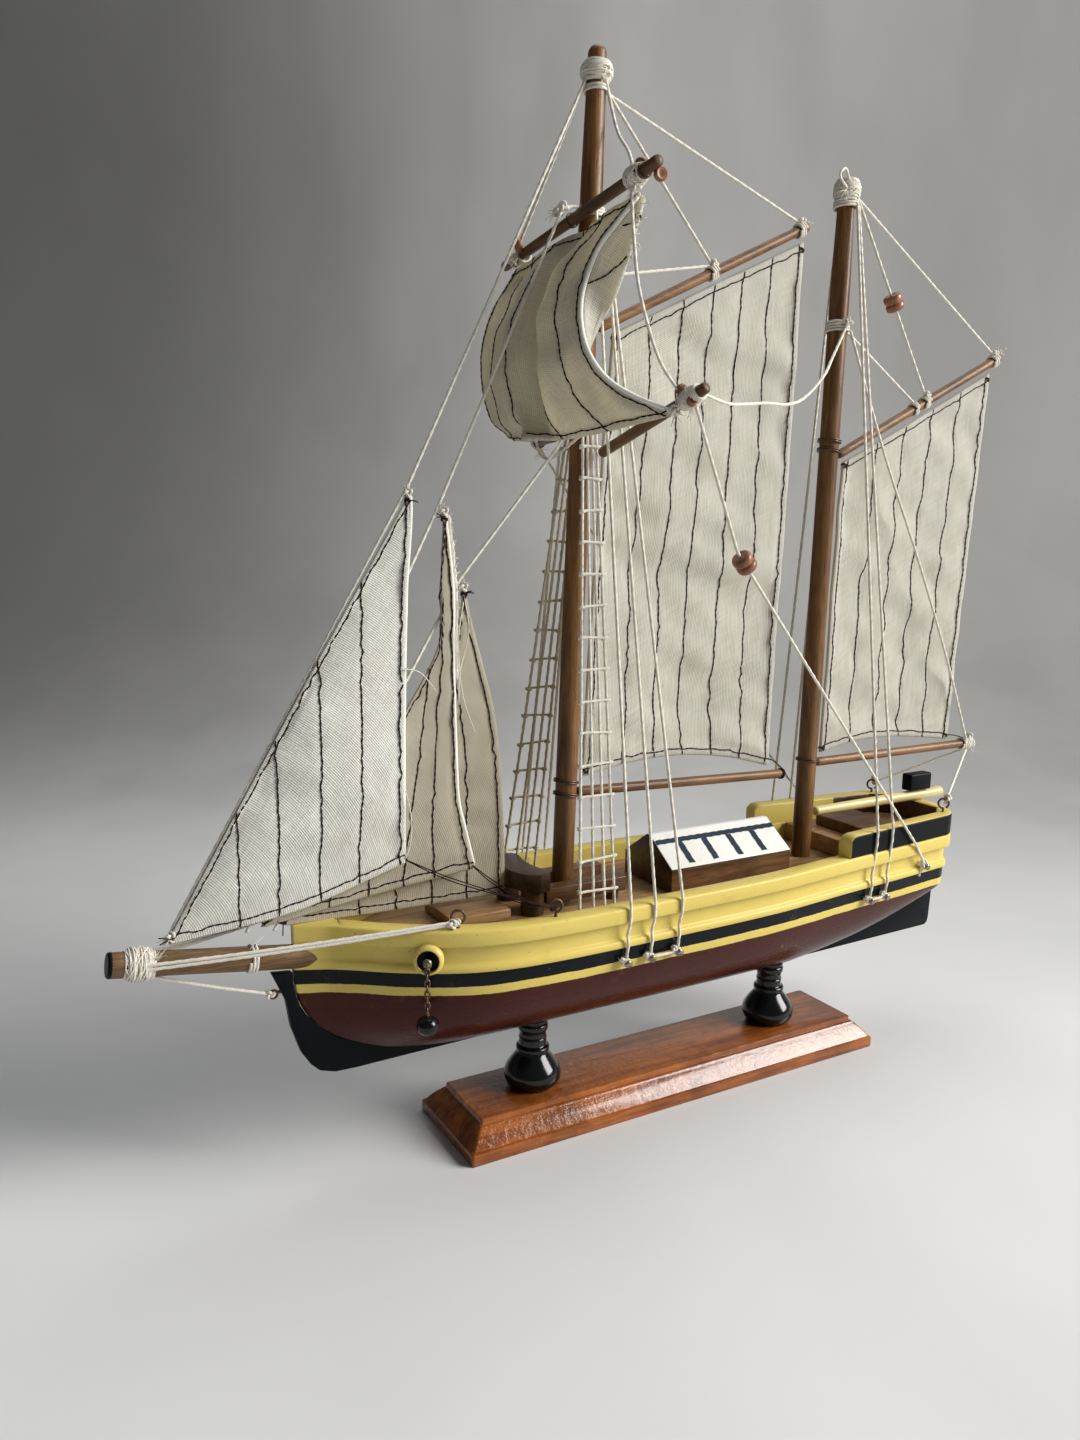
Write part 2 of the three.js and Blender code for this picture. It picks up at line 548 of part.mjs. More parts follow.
// Rows run from the head down to the foot, points from the luff to the leech.
const SAILS = {
  mainsail: [
    [[-25.0, 0, 231.0], [10, 0, 247.4], [44.0, 0, 264.4]],
    [[-29.6, 0, 165], [5, 2.2, 170], [42.2, 0.6, 180]],
    [[-33.0, 0, 104.6], [4, 0, 107.6], [39.2, 0, 101.2]],
  ],
  mizzen_sail: [
    [[66.2, 0, 199.4], [100, 0, 215.6], [133.4, 0, 232.6]],
    [[64.4, 0, 150], [96, 2, 156], [129.6, 0.4, 164]],
    [[62.8, 0, 103.4], [94, 0, 106], [125.4, 0, 102.8]],
  ],
  topsail: [
    [[-36.6, 36, 253.6], [-38.0, 16, 254.8], [-38.8, -2, 255.8], [-39.8, -20, 256.6], [-40.6, -34, 257.6]],
    [[-44.6, 36, 240], [-45.2, 18, 241.6], [-47.0, 0, 243], [-46.6, -14, 243.6], [-45.6, -22, 244.4]],
    [[-48.0, 35, 225], [-52.2, 18, 226], [-53.2, 0, 227], [-51.0, -14, 228], [-48.4, -22, 228.4]],
    [[-45.4, 35, 210], [-50.4, 18, 209.6], [-50.6, 0, 210], [-47.4, -16, 212], [-42.6, -26, 215]],
    [[-39.4, 34, 206.8], [-45.4, 16, 202.6], [-44.8, 0, 201.0], [-39.0, -18, 202.2], [-29.4, -37.6, 205.6]],
  ],
  outer_jib: [
    [[-87.0, -0.7, 184.0], [-86.5, -0.7, 184.0], [-86.0, -0.7, 184.0]],
    [[-120.4, -0.9, 128.6], [-106, -3.4, 130.4], [-91.4, -3.6, 132]],
    [[-151.2, -0.9, 75.6], [-121, -4.2, 79.6], [-92.2, -4.8, 87.8]],
  ],
  inner_jib: [
    [[-77.8, -0.8, 180.4], [-77.3, -0.8, 180.4], [-76.8, -0.8, 180.4]],
    [[-91.0, -0.8, 127.6], [-83.6, -1.4, 128.0], [-76.0, -2.2, 128.5]],
    [[-130, -0.8, 76.8], [-99, -2.2, 79.6], [-71.2, -4.2, 83.2]],
  ],
  staysail: [
    [[-71.8, -0.5, 160.2], [-71.3, -0.5, 160.2], [-70.8, -0.5, 160.2]],
    [[-88.8, 0.4, 117], [-76, 0.2, 116.2], [-62.6, -0.6, 115.4]],
    [[-123.4, 0.3, 75.2], [-98, 0.4, 73.6], [-62, -1.2, 73]],
  ],
};
for (const [name, net] of Object.entries(SAILS)) {
  add(name, toGeometry(cloth(net)), CANVAS);
}

// ---- shrouds with ratlines ----

const SHROUD_TOP_Z = 203.4;
const SHROUD_FOOT = [-47.2, -42.6, -38.8, -35.4];
const RUNG = { count: 15, top: 0.03, bottom: 0.96, over: 0.9, outboard: 0.62 };

function shroudEnds(i, side) {
  return [
    mastAt(FOREMAST, SHROUD_TOP_Z, side * 4.4, (i - 1.5) * 1.45),
    v(SHROUD_FOOT[i], side * 23.6, DECK_Z + 0.6),
  ];
}

function ratlines(side) {
  const shrouds = SHROUD_FOOT.map((_, i) => cord(shroudEnds(i, side), CORD * 0.9, RATLINE_SIDES));
  const [first, last] = [shroudEnds(0, side), shroudEnds(SHROUD_FOOT.length - 1, side)];
  for (let k = 0; k < RUNG.count; k += 1) {
    const t = RUNG.top + ((RUNG.bottom - RUNG.top) * k) / (RUNG.count - 1);
    const a = first[0].clone().lerp(first[1], t).add(v(-RUNG.over, side * RUNG.outboard, 0));
    const b = last[0].clone().lerp(last[1], t).add(v(RUNG.over, side * RUNG.outboard, 0));
    shrouds.push(cord([a, b], CORD * 0.85, RATLINE_SIDES));
  }
  return join(shrouds);
}
add('ratlines_port', toGeometry(ratlines(-1)), STRING);
add('ratlines_starboard', toGeometry(ratlines(1)), STRING);

// ---- standing rigging ----

const lash = (mastSpec, z, length) => band(
  mastAt(mastSpec, z),
  mastAt(mastSpec, z + 1),
  MAST_R + CLEAR,
  MAST_R + CLEAR + LASH_T,
  length,
);
const outside = (x, gap) => -(breadth(x) + gap);

const NAILS = { main: [-35.3, -27, -17.4], mizzen: [65.8, 73.6], z: 57 };
const NAIL_PROUD = -0.3;
const STAY_CLEAR = 1.6;
const nailAt = (x, z = NAILS.z) => v(x, outside(x, NAIL_PROUD), z);

// Stays from round a mast's lashing, over the rail, down to the nails.
function fan(mastSpec, z, turns, xs, overRail) {
  const radius = MAST_R + CLEAR + LASH_T * 0.6;
  return xs.map((x, i) => {
    const turn = THREE.MathUtils.degToRad(turns[i]);
    const start = mastAt(mastSpec, z, -radius * Math.sin(turn), radius * Math.cos(turn));
    return cord([start, v(x, outside(x, STAY_CLEAR), overRail), nailAt(x)]);
  });
}

const BACKSTAY_Z = 262;
function backstays() {
  const link = cord([nailAt(NAILS.main[1]), nailAt(NAILS.main[2])]);
  return join([...fan(FOREMAST, BACKSTAY_Z, [100, 44, 22], NAILS.main, RAIL_Z), link]);
}
const middleStay = cord([
  mastAt(FOREMAST, BACKSTAY_Z + 1.2, 0, -(MAST_R + CLEAR + LASH_T)),
  v(-41.8, 0, 262.2),
  v(-78.6, 0, 183.2),
  v(-133.6, 0, 73.4),
]);
const portBackstays = backstays();
const topmastStays = join([
  lash(FOREMAST, BACKSTAY_Z, 3), portBackstays, portBackstays.mirror([0, 1, 0]), middleStay,
]);
add('topmast_stays', toGeometry(topmastStays), STRING);

const mastheadStart = mastAt(FOREMAST, 296, 0, -3.4);
const outerStay = cord([mastheadStart, v(-88.0, 0, 186.6), v(-154.4, 0, 73.6)]);
const liftStarboard = cord([mastAt(FOREMAST, 296, 2.2, -2.8), v(-39.2, 30, 259.6)]);
const liftPort = cord([
  mastAt(FOREMAST, 296, -2.6, -2.2), v(-36.4, -16, 281), v(-40.2, -31, 265.4),
]);
const mastheadLash = band(
  mastAt(FOREMAST, 296.6), mastAt(FOREMAST, 298), MAST_R + 0.05, MAST_R + LASH_T + 0.4, 5.6,
);
add('masthead_rigging', toGeometry(join([mastheadLash, outerStay, liftStarboard, liftPort])), STRING);

const innerStay = cord([mastAt(FOREMAST, 204, 0, -4.4), v(-72.6, 0, 163.2), v(-126.4, 0, 72.6)]);
add('forestay_inner', toGeometry(innerStay), STRING);

const MIZZEN_STAY_Z = 278;
const portMizzenStays = join([
  ...fan(MIZZEN, MIZZEN_STAY_Z, [75, 35], NAILS.mizzen, BULWARK.topZ),
  cord(NAILS.mizzen.map((x) => nailAt(x))),
]);
const mizzenShrouds = join([
  lash(MIZZEN, MIZZEN_STAY_Z, 1.6), portMizzenStays, portMizzenStays.mirror([0, 1, 0]),
]);
add('mizzen_shrouds', toGeometry(mizzenShrouds), STRING);

// ---- bowsprit rigging ----

const spritAt = (t, dy = 0, dz = 0) => axisY0(BOWSPRIT.tip).lerp(axisY0(BOWSPRIT.heel), t).add(v(0, dy, dz));
const whipping = band(spritAt(0.13), spritAt(0.2), BOWSPRIT.radius + 0.05, BOWSPRIT.radius + 1.1, 7);
function guy(side, spread) {
  const start = spritAt(0.16, side * 3.8, spread);
  return cord([start, v(-85.6, side * 25.2, RAIL_Z + 3.1 + spread)]);
}
const bobstay = cord([spritAt(0.18, 0, -3.8), v(-129.4, 0, 57.3)]);
const guys = [-1, 1].flatMap((side) => [guy(side, -0.55), guy(side, 0.55)]);
add('bowsprit_rigging', toGeometry(join([whipping, bobstay, ...guys])), STRING);

// ---- running rigging ----

const gaffLash = (gaff, t, r) => band(
  gaff[0].clone().lerp(gaff[1], t), gaff[1], r + CLEAR, r + CLEAR + LASH_T, 3,
);
const gaffTop = (gaff, t, r) => gaff[0].clone().lerp(gaff[1], t).add(v(0, 0, r + 0.75));

const collarTop = lash(FOREMAST, 291, 1.6);
const collarLow = lash(FOREMAST, 246, 1.6);
const aftOfFore = (z, y = 0) => mastAt(FOREMAST, z, y, MAST_R + 0.75);
const mainHalyards = join([
  collarTop,
  collarLow,
  gaffLash(SPARS.main_gaff, 0.96, GAFF_R),
  gaffLash(SPARS.main_gaff, 0.52, GAFF_R),
  cord([aftOfFore(291, 0.4), gaffTop(SPARS.main_gaff, 0.96, GAFF_R)]),
  cord([aftOfFore(291, -0.4), gaffTop(SPARS.main_gaff, 0.52, GAFF_R)]),
  cord([aftOfFore(246), gaffTop(SPARS.main_gaff, 0.52, GAFF_R)]),
]);
add('main_halyards', toGeometry(mainHalyards), STRING);

const aftOfMizzen = (z, y = 0) => mastAt(MIZZEN, z, y, MAST_R + 0.5);
const mizzenLash = band(mastAt(MIZZEN, 282.6), mastAt(MIZZEN, 284), MAST_R + 0.05, MAST_R + LASH_T + 0.4, 5);
const halyardEnd = gaffTop(SPARS.mizzen_gaff, 0.52, GAFF_R);
const mizzenHalyards = join([
  mizzenLash,
  gaffLash(SPARS.mizzen_gaff, 0.96, GAFF_R),
  gaffLash(SPARS.mizzen_gaff, 0.52, GAFF_R),
  cord([aftOfMizzen(282, 0.5), gaffTop(SPARS.mizzen_gaff, 0.96, GAFF_R)]),
  cord([aftOfMizzen(282, -0.5), halyardEnd]),
]);
add('mizzen_halyards', toGeometry(mizzenHalyards), STRING);

// Lower lashing of the mizzen mast with everything made fast to it.
const BOOM_END = SPARS.mizzen_boom[0].clone().lerp(SPARS.mizzen_boom[1], 0.965);
const yardEnd = SPARS.lower_yard_port[1].clone().lerp(SPARS.lower_yard_port[0], 0.1);
const triatic = [
  mastAt(MIZZEN, 241, -3.9, 0), v(40.3, -16, 224.3), v(21.4, -22, 213), v(-0.2, -30, 210.6),
  yardEnd.clone().add(v(1.9, 1.2, 0.6)),
];
const mizzenMid = join([
  lash(MIZZEN, 241.6, 3.4),
  cord(triatic),
  cord([aftOfMizzen(241, 0.3), gaffTop(SPARS.mizzen_gaff, 0.45, GAFF_R)]),
  gaffLash(SPARS.mizzen_gaff, 0.45, GAFF_R),
  cord([aftOfMizzen(240.6, -2.6), v(99, -5, 168), BOOM_END.clone().add(v(-3.6, -2.6, 0.6))]),
]);
add('mizzen_mid_rigging', toGeometry(mizzenMid), STRING);

const BRACE = { bead: v(-5, -34, 171), foot: v(94.4, outside(94.4, -0.2), 64.4) };
const braceStart = SPARS.lower_yard_port[1].clone().lerp(SPARS.lower_yard_port[0], 0.12).add(v(0.6, 0.6, -2.1));
const bracePath = [braceStart, BRACE.bead, v(91, outside(91, 2), BULWARK.topZ - 6), BRACE.foot];
add('brace_port', toGeometry(cord(bracePath)), STRING);
const braceStarboardStart = SPARS.lower_yard_starboard[1].clone()
  .lerp(SPARS.lower_yard_starboard[0], 0.12).add(v(1.2, -0.6, -2.0));
const braceStarboard = [braceStarboardStart, ...bracePath.slice(1).map(mirrorY)];
add('brace_starboard', toGeometry(cord(braceStarboard)), STRING);

// Bead threaded on a cord whose direction is given.
function bead(centre, direction, radius, height) {
  const hole = CORD / 2 + CLEAR + 0.05;
  const waist = radius * 0.86;
  const profile = [
    [hole, 0], [waist, 0], [radius, height * 0.12], [radius, height * 0.42], [waist, height * 0.5],
    [radius, height * 0.58], [radius, height * 0.88], [waist, height], [hole, height], [hole, 0],
  ];
  const step = direction.clone().normalize().multiplyScalar(height / 2);
  return turnedAlong(profile, centre.clone().sub(step), centre.clone().add(step), 14);
}
const fromBead = (path, s) => path[1].clone().lerp(path[2], s / path[1].distanceTo(path[2]));
const braceDirection = bracePath[2].clone().sub(bracePath[1]);
add('brace_bead_port', toGeometry(bead(fromBead(bracePath, 4), braceDirection, 2.9, 5.2)), OAK);
const halyardRun = halyardEnd.clone().sub(aftOfMizzen(282, -0.5));
const halyardBead = aftOfMizzen(282, -0.5).addScaledVector(halyardRun, 0.52);
add('halyard_bead', toGeometry(bead(halyardBead, halyardRun, 2.9, 5.2)), OAK);

const sheetTop = BOOM_END.clone().add(v(0, 0, -2.1));
const boomSheet = join([
  band(BOOM_END, SPARS.mizzen_boom[1], YARD_R + CLEAR, YARD_R + CLEAR + LASH_T, 3.4),
  cord([sheetTop, v(108.6, -16.3, BULWARK.topZ + 4.9)]),
  cord([sheetTop, v(108.6, 16.3, BULWARK.topZ + 4.9)]),
]);
add('mizzen_sheets', toGeometry(boomSheet), STRING);

export default group;
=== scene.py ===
import json
import math

import bpy
import numpy as np
from mathutils import Matrix, Vector


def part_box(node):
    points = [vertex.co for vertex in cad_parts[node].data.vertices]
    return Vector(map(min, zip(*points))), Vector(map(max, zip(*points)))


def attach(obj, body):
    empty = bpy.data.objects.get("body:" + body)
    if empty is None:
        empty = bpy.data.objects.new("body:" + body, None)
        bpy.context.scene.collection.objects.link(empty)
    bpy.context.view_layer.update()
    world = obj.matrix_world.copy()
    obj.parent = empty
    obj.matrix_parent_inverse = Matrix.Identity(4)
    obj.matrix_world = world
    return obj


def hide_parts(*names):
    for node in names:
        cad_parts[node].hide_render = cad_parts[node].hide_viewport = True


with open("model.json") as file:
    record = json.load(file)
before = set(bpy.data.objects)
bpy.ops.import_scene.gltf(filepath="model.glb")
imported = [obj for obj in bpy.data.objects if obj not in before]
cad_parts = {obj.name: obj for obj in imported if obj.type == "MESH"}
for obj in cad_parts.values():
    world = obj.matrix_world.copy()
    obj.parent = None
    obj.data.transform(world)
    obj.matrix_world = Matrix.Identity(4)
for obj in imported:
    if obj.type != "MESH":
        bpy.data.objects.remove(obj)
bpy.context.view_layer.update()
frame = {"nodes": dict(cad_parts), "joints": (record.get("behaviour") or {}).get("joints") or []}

MM = 0.001
RNG = np.random.default_rng(7)
SIDE = (-1, 1)

# ---------------------------------------------------------------- camera

camera = bpy.data.cameras.new("camera")
camera.lens = 27.05
camera.sensor_width = 36
camera_object = bpy.data.objects.new("camera", camera)
bpy.context.collection.objects.link(camera_object)
RIGHT = Vector((0.869238, -0.494272, 0.010975))
DOWN = Vector((-0.074177, -0.152333, -0.985542))
AHEAD = Vector((0.488797, 0.855856, -0.169078))
turn = Matrix((RIGHT, -DOWN, -AHEAD)).transposed().to_4x4()
camera_object.matrix_world = Matrix.Translation((-0.19994, -0.26745, 0.17528)) @ turn
bpy.context.scene.camera = camera_object

# ---------------------------------------------------------------- mesh helpers (millimetres)


def unit(a):
    """The vector at a length of one."""
    a = np.asarray(a, float)
    return a / (np.linalg.norm(a) or 1.0)


def side_of(axis):
    """A unit vector across an axis."""
    axis = unit(axis)
    other = np.array((0.0, 0.0, 1.0)) if abs(axis[2]) < 0.9 else np.array((1.0, 0.0, 0.0))
    return unit(np.cross(axis, other))


def resample(points, step):
    """Points spaced evenly along a polyline."""
    points = np.asarray(points, float)
    lengths = np.linalg.norm(np.diff(points, axis=0), axis=1)
    s = np.concatenate(([0], np.cumsum(lengths)))
    count = max(2, int(round(s[-1] / step)) + 1)
    at = np.linspace(0, s[-1], count)
    return np.stack([np.interp(at, s, points[:, k]) for k in range(3)], 1)


def smooth_path(points, per=10):
    """Catmull-Rom curve through the points."""
    p = np.asarray(points, float)
    p = np.vstack((2 * p[0] - p[1], p, 2 * p[-1] - p[-2]))
    out = []
    for i in range(1, len(p) - 2):
        for t in np.arange(per) / per:
            a, b, c, d = p[i - 1:i + 3]
            out.append(0.5 * (2 * b + (c - a) * t + (2 * a - 5 * b + 4 * c - d) * t**2
                              + (3 * b - a - 3 * c + d) * t**3))
    out.append(p[-2])
    return np.array(out)


class Build:
    """One mesh gathered from several shapes, in millimetres."""

    def __init__(self):
        self.verts, self.faces, self.mats, self.uvs = [], [], [], []
        self.count = 0

    def add(self, verts, faces, mat=0, uvs=None):
        """Append vertices and faces; faces count from the first new vertex."""
        verts = np.asarray(verts, float)
        self.verts.append(verts)
        self.uvs.append(np.zeros((len(verts), 2)) if uvs is None else np.asarray(uvs, float))
        for f in faces:
            self.faces.append([int(i) + self.count for i in f])
        self.mats.extend([mat] * len(faces))
        self.count += len(verts)

    def rings(self, rings, mat=0, closed=False, caps=True):
        """Skin over a row of equal rings of points."""
        rings = np.asarray(rings, float)
        m, n = rings.shape[:2]
        faces = []
        for i in range(m if closed else m - 1):
            j = (i + 1) % m
            for k in range(n):
                q = (k + 1) % n
                faces.append((i * n + k, i * n + q, j * n + q, j * n + k))
        if caps and not closed:
            faces.append([k for k in range(n)][::-1])
            faces.append([(m - 1) * n + k for k in range(n)])
        self.add(rings.reshape(-1, 3), faces, mat)

    def tube(self, points, radius, sides=8, mat=0, closed=False, lobes=0, pitch=3.0, depth=0.2, flat=1.0,
             up=None):
        """Tube along points; radius may be a list; lobes twist round it."""
        p = np.asarray(points, float)
        m = len(p)
        radius = np.broadcast_to(np.asarray(radius, float), (m,))
        if closed:
            tangents = np.roll(p, -1, 0) - np.roll(p, 1, 0)
        else:
            tangents = np.gradient(p, axis=0)
        tangents /= np.maximum(np.linalg.norm(tangents, axis=1, keepdims=True), 1e-9)
        normal = side_of(tangents[0]) if up is None else unit(up - np.dot(up, tangents[0]) * tangents[0])
        s = np.concatenate(([0], np.cumsum(np.linalg.norm(np.diff(p, axis=0), axis=1))))
        angle = np.arange(sides) / sides * 2 * math.pi
        rings = []
        for i in range(m):
            t = tangents[i]
            normal = unit(normal - np.dot(normal, t) * t)
            across = np.cross(t, normal)
            r = np.full(sides, radius[i])
            if lobes:
                r = r * (1 - depth / 2 + depth / 2 * np.cos(lobes * angle + 2 * math.pi * s[i] / pitch))
            wide, tall = np.cos(angle) * r, np.sin(angle) * r * flat
            rings.append(p[i] + wide[:, None] * normal + tall[:, None] * across)
        self.rings(np.array(rings)[:, ::-1], mat, closed)

    def lathe(self, profile, a, b, sides=40, mat=0, caps=True):
        """Profile of (radius, distance) turned about the axis from a towards b."""
        a, axis = np.asarray(a, float), unit(np.asarray(b, float) - np.asarray(a, float))
        x = side_of(axis)
        y = np.cross(axis, x)
        angle = np.arange(sides) / sides * 2 * math.pi
        ring = np.cos(angle)[:, None] * x + np.sin(angle)[:, None] * y
        self.rings([a + axis * d + ring * max(r, 0.01) for r, d in profile], mat, caps=caps)

    def piece(self, name, mats, body, slot, *replaced, sharp=None):
        """The finished object, riding its body and standing in for its CAD nodes."""
        mesh = bpy.data.meshes.new(name)
        verts = np.concatenate(self.verts) * MM
        mesh.from_pydata([tuple(v) for v in verts], [], self.faces)
        mesh.update()
        mesh.polygons.foreach_set("material_index", self.mats)
        uv = np.concatenate(self.uvs)
        layer = mesh.uv_layers.new(name="UVMap")
        index = np.zeros(len(mesh.loops), np.int32)
        mesh.loops.foreach_get("vertex_index", index)
        layer.data.foreach_set("uv", uv[index].ravel())
        for m in mats:
            mesh.materials.append(m)
        mesh.polygons.foreach_set("use_smooth", [True] * len(mesh.polygons))
        if sharp:
            mesh.set_sharp_from_angle(angle=math.radians(sharp))
        obj = bpy.data.objects.new(name, mesh)
        bpy.context.collection.objects.link(obj)
        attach(obj, body)
        if replaced:
            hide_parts(*replaced)
        return obj


# ---------------------------------------------------------------- materials


class Graph:
    """Short hand for building a material's nodes."""

    def __init__(self, name, roughness=0.5, metallic=0.0, coat=0.0, sheen=0.0, coords="Object", shine=0.27):
        self.mat = bpy.data.materials.new(name)
        self.mat.use_nodes = True
        self.tree = self.mat.node_tree
        self.bsdf = self.tree.nodes["Principled BSDF"]
        self.bsdf.inputs["Roughness"].default_value = roughness
        self.bsdf.inputs["Metallic"].default_value = metallic
        self.bsdf.inputs["Coat Weight"].default_value = coat
        self.bsdf.inputs["Coat Roughness"].default_value = 0.12
        self.bsdf.inputs["Sheen Weight"].default_value = sheen
        self.bsdf.inputs["Sheen Roughness"].default_value = 0.5
        self.bsdf.inputs["IOR"].default_value = 1.5
        self.bsdf.inputs["Specular IOR Level"].default_value = shine
        self.coord = self.tree.nodes.new("ShaderNodeTexCoord").outputs[coords]

    def node(self, kind, **settings):
        n = self.tree.nodes.new("ShaderNode" + kind)
        for k, value in settings.items():
            setattr(n, k, value)
        return n

    def put(self, socket, value):
        if isinstance(value, bpy.types.NodeSocket):
            self.tree.links.new(value, socket)
        elif isinstance(value, (tuple, list)) and len(value) == 3 and socket.type == "RGBA":
            socket.default_value = (*value, 1)
        else:
            socket.default_value = value

    def stretched(self, scale):
        """The coordinates scaled along each axis; under 1 draws the pattern out."""
        n = self.node("Mapping")
        self.put(n.inputs["Vector"], self.coord)
        n.inputs["Scale"].default_value = scale
        return n.outputs["Vector"]

    def noise(self, scale, detail=4, rough=0.55, vector=None, distortion=0.0):
        n = self.node("TexNoise")
        self.put(n.inputs["Vector"], vector or self.coord)
        n.inputs["Scale"].default_value = scale
        n.inputs["Detail"].default_value = detail
        n.inputs["Roughness"].default_value = rough
        n.inputs["Distortion"].default_value = distortion
        return n.outputs["Fac"]

    def wave(self, scale, direction="X", distortion=0.0, detail=2):
        n = self.node("TexWave", wave_type="BANDS", bands_direction=direction, wave_profile="SIN")
        self.put(n.inputs["Vector"], self.coord)
        n.inputs["Scale"].default_value = scale
        n.inputs["Distortion"].default_value = distortion
        n.inputs["Detail"].default_value = detail
        return n.outputs["Fac"]

    def math(self, operation, a, b, clamp=False):
        n = self.node("Math", operation=operation, use_clamp=clamp)
        self.put(n.inputs[0], a)
        self.put(n.inputs[1], b)
        return n.outputs[0]

    def plus(self, a, b, clamp=False):
        return self.math("ADD", a, b, clamp)

    def minus(self, a, b):
        return self.math("SUBTRACT", a, b)

    def times(self, a, b):
        return self.math("MULTIPLY", a, b)

    def step(self, value, low, high):
        """0 below low, 1 above high and smooth between."""
        n = self.node("MapRange", interpolation_type="SMOOTHSTEP")
        self.put(n.inputs["Value"], value)
        n.inputs["From Min"].default_value = low
        n.inputs["From Max"].default_value = high
        return n.outputs["Result"]

    def mix(self, fac, a, b):
        n = self.node("Mix", data_type="RGBA", blend_type="MIX")
        self.put(n.inputs[0], fac)
        self.put(n.inputs[6], a)
        self.put(n.inputs[7], b)
        return n.outputs[2]

    def axis(self, index):
        n = self.node("SeparateXYZ")
        self.put(n.inputs[0], self.coord)
        return n.outputs[index]

    def color(self, value):
        self.put(self.bsdf.inputs["Base Color"], value)

    def rough(self, value):
        self.put(self.bsdf.inputs["Roughness"], value)

    def bump(self, height, strength=0.3, distance=0.0003):
        """Add a bump on top of any that is there."""
        n = self.node("Bump")
        n.inputs["Strength"].default_value = strength
        n.inputs["Distance"].default_value = distance
        self.put(n.inputs["Height"], height)
        last = self.bsdf.inputs["Normal"]
        if last.is_linked:
            self.tree.links.new(last.links[0].from_socket, n.inputs["Normal"])
        self.tree.links.new(n.outputs["Normal"], last)


def wood(name, dark, light, along="Z", roughness=0.42, coat=0.25, grain=1.0, mottled=0.0, lumps=0.0):
    """Stained or varnished wood with its grain along an axis of the model."""
    g = Graph(name, roughness=roughness, coat=coat)
    squash = {"X": (0.07, 1, 1), "Y": (1, 0.07, 1), "Z": (1, 1, 0.07)}[along]
    v = g.stretched(squash)
    fine = g.noise(1400, 5, 0.65, v)
    streak = g.noise(330, 4, 0.6, v, 0.6)
    pores = g.step(g.noise(2600, 2, 0.5, v), 0.56, 0.7)
    tone = g.plus(g.times(streak, 0.75), g.times(fine, 0.35), clamp=True)
    base = g.mix(g.step(tone, 0.32, 0.74), dark, light)
    base = g.mix(g.times(pores, 0.45 * grain), base, [c * 0.3 for c in dark])
    cloud = g.step(g.noise(45, 3, 0.6), 0.42, 0.68)
    base = g.mix(g.times(cloud, 0.25 + mottled), base, [c * 0.45 for c in dark])
    g.color(base)
    g.rough(g.plus(g.times(fine, 0.25), roughness - 0.12))
    g.bump(g.minus(fine, g.times(pores, 0.8)), 0.35 * grain, 0.00012)
    if lumps:
        g.bump(g.noise(330, 4, 0.6), lumps, 0.0008)
    return g.mat


def enamel(name, color, roughness=0.28, coat=0.5, brushed="X", dirt=(0.2, 0.16, 0.09), speck=0.5, shine=0.2):
    """Brush-painted gloss with faint brush marks, specks and grime."""
    g = Graph(name, roughness=roughness, coat=coat, shine=shine)
    squash = {"X": (0.05, 1, 1), "Y": (1, 0.05, 1), "Z": (1, 1, 0.05)}[brushed]
    brush = g.noise(900, 3, 0.6, g.stretched(squash))
    tint = g.mix(g.noise(70, 3), [c * 0.86 for c in color], [min(1, c * 1.1) for c in color])
    grime = g.step(g.noise(190, 5, 0.7), 0.6, 0.74)
    specks = g.step(g.noise(700, 2, 0.5), 0.71, 0.76)
    tint = g.mix(g.times(grime, 0.25 * speck), tint, dirt)
    tint = g.mix(g.times(specks, 0.7 * speck), tint, dirt)
    g.color(tint)
    g.rough(g.plus(g.times(brush, 0.22), roughness - 0.08))
    g.bump(g.plus(brush, g.times(g.noise(240, 3), 0.8)), 0.22, 0.00012)
    return g.mat


def metal(name, color, roughness=0.35, dull=(0.05, 0.035, 0.02), amount=0.5):
    """Bare metal with dull spots."""
    g = Graph(name, roughness=roughness, metallic=0.9)
    spots = g.step(g.noise(900, 5, 0.7), 0.42, 0.68)
    g.color(g.mix(g.times(spots, amount), color, dull))
    g.rough(g.plus(g.times(spots, 0.35), roughness - 0.08))
    g.bump(g.noise(1500, 3), 0.3, 0.00008)
    return g.mat


def cotton_cord(name, light, dark, sheen=0.25):
    """Twisted cotton: fine fibres and grubby stretches."""
    g = Graph(name, roughness=0.9, sheen=sheen)
    fibre = g.noise(3200, 4, 0.7)
    soft = g.noise(160, 3)
    tint = g.mix(g.step(fibre, 0.3, 0.7), dark, light)
    tint = g.mix(g.times(g.step(soft, 0.5, 0.75), 0.35), tint, [c * 0.72 for c in dark])
    g.color(tint)
    g.bump(fibre, 0.7, 0.0002)
    return g.mat


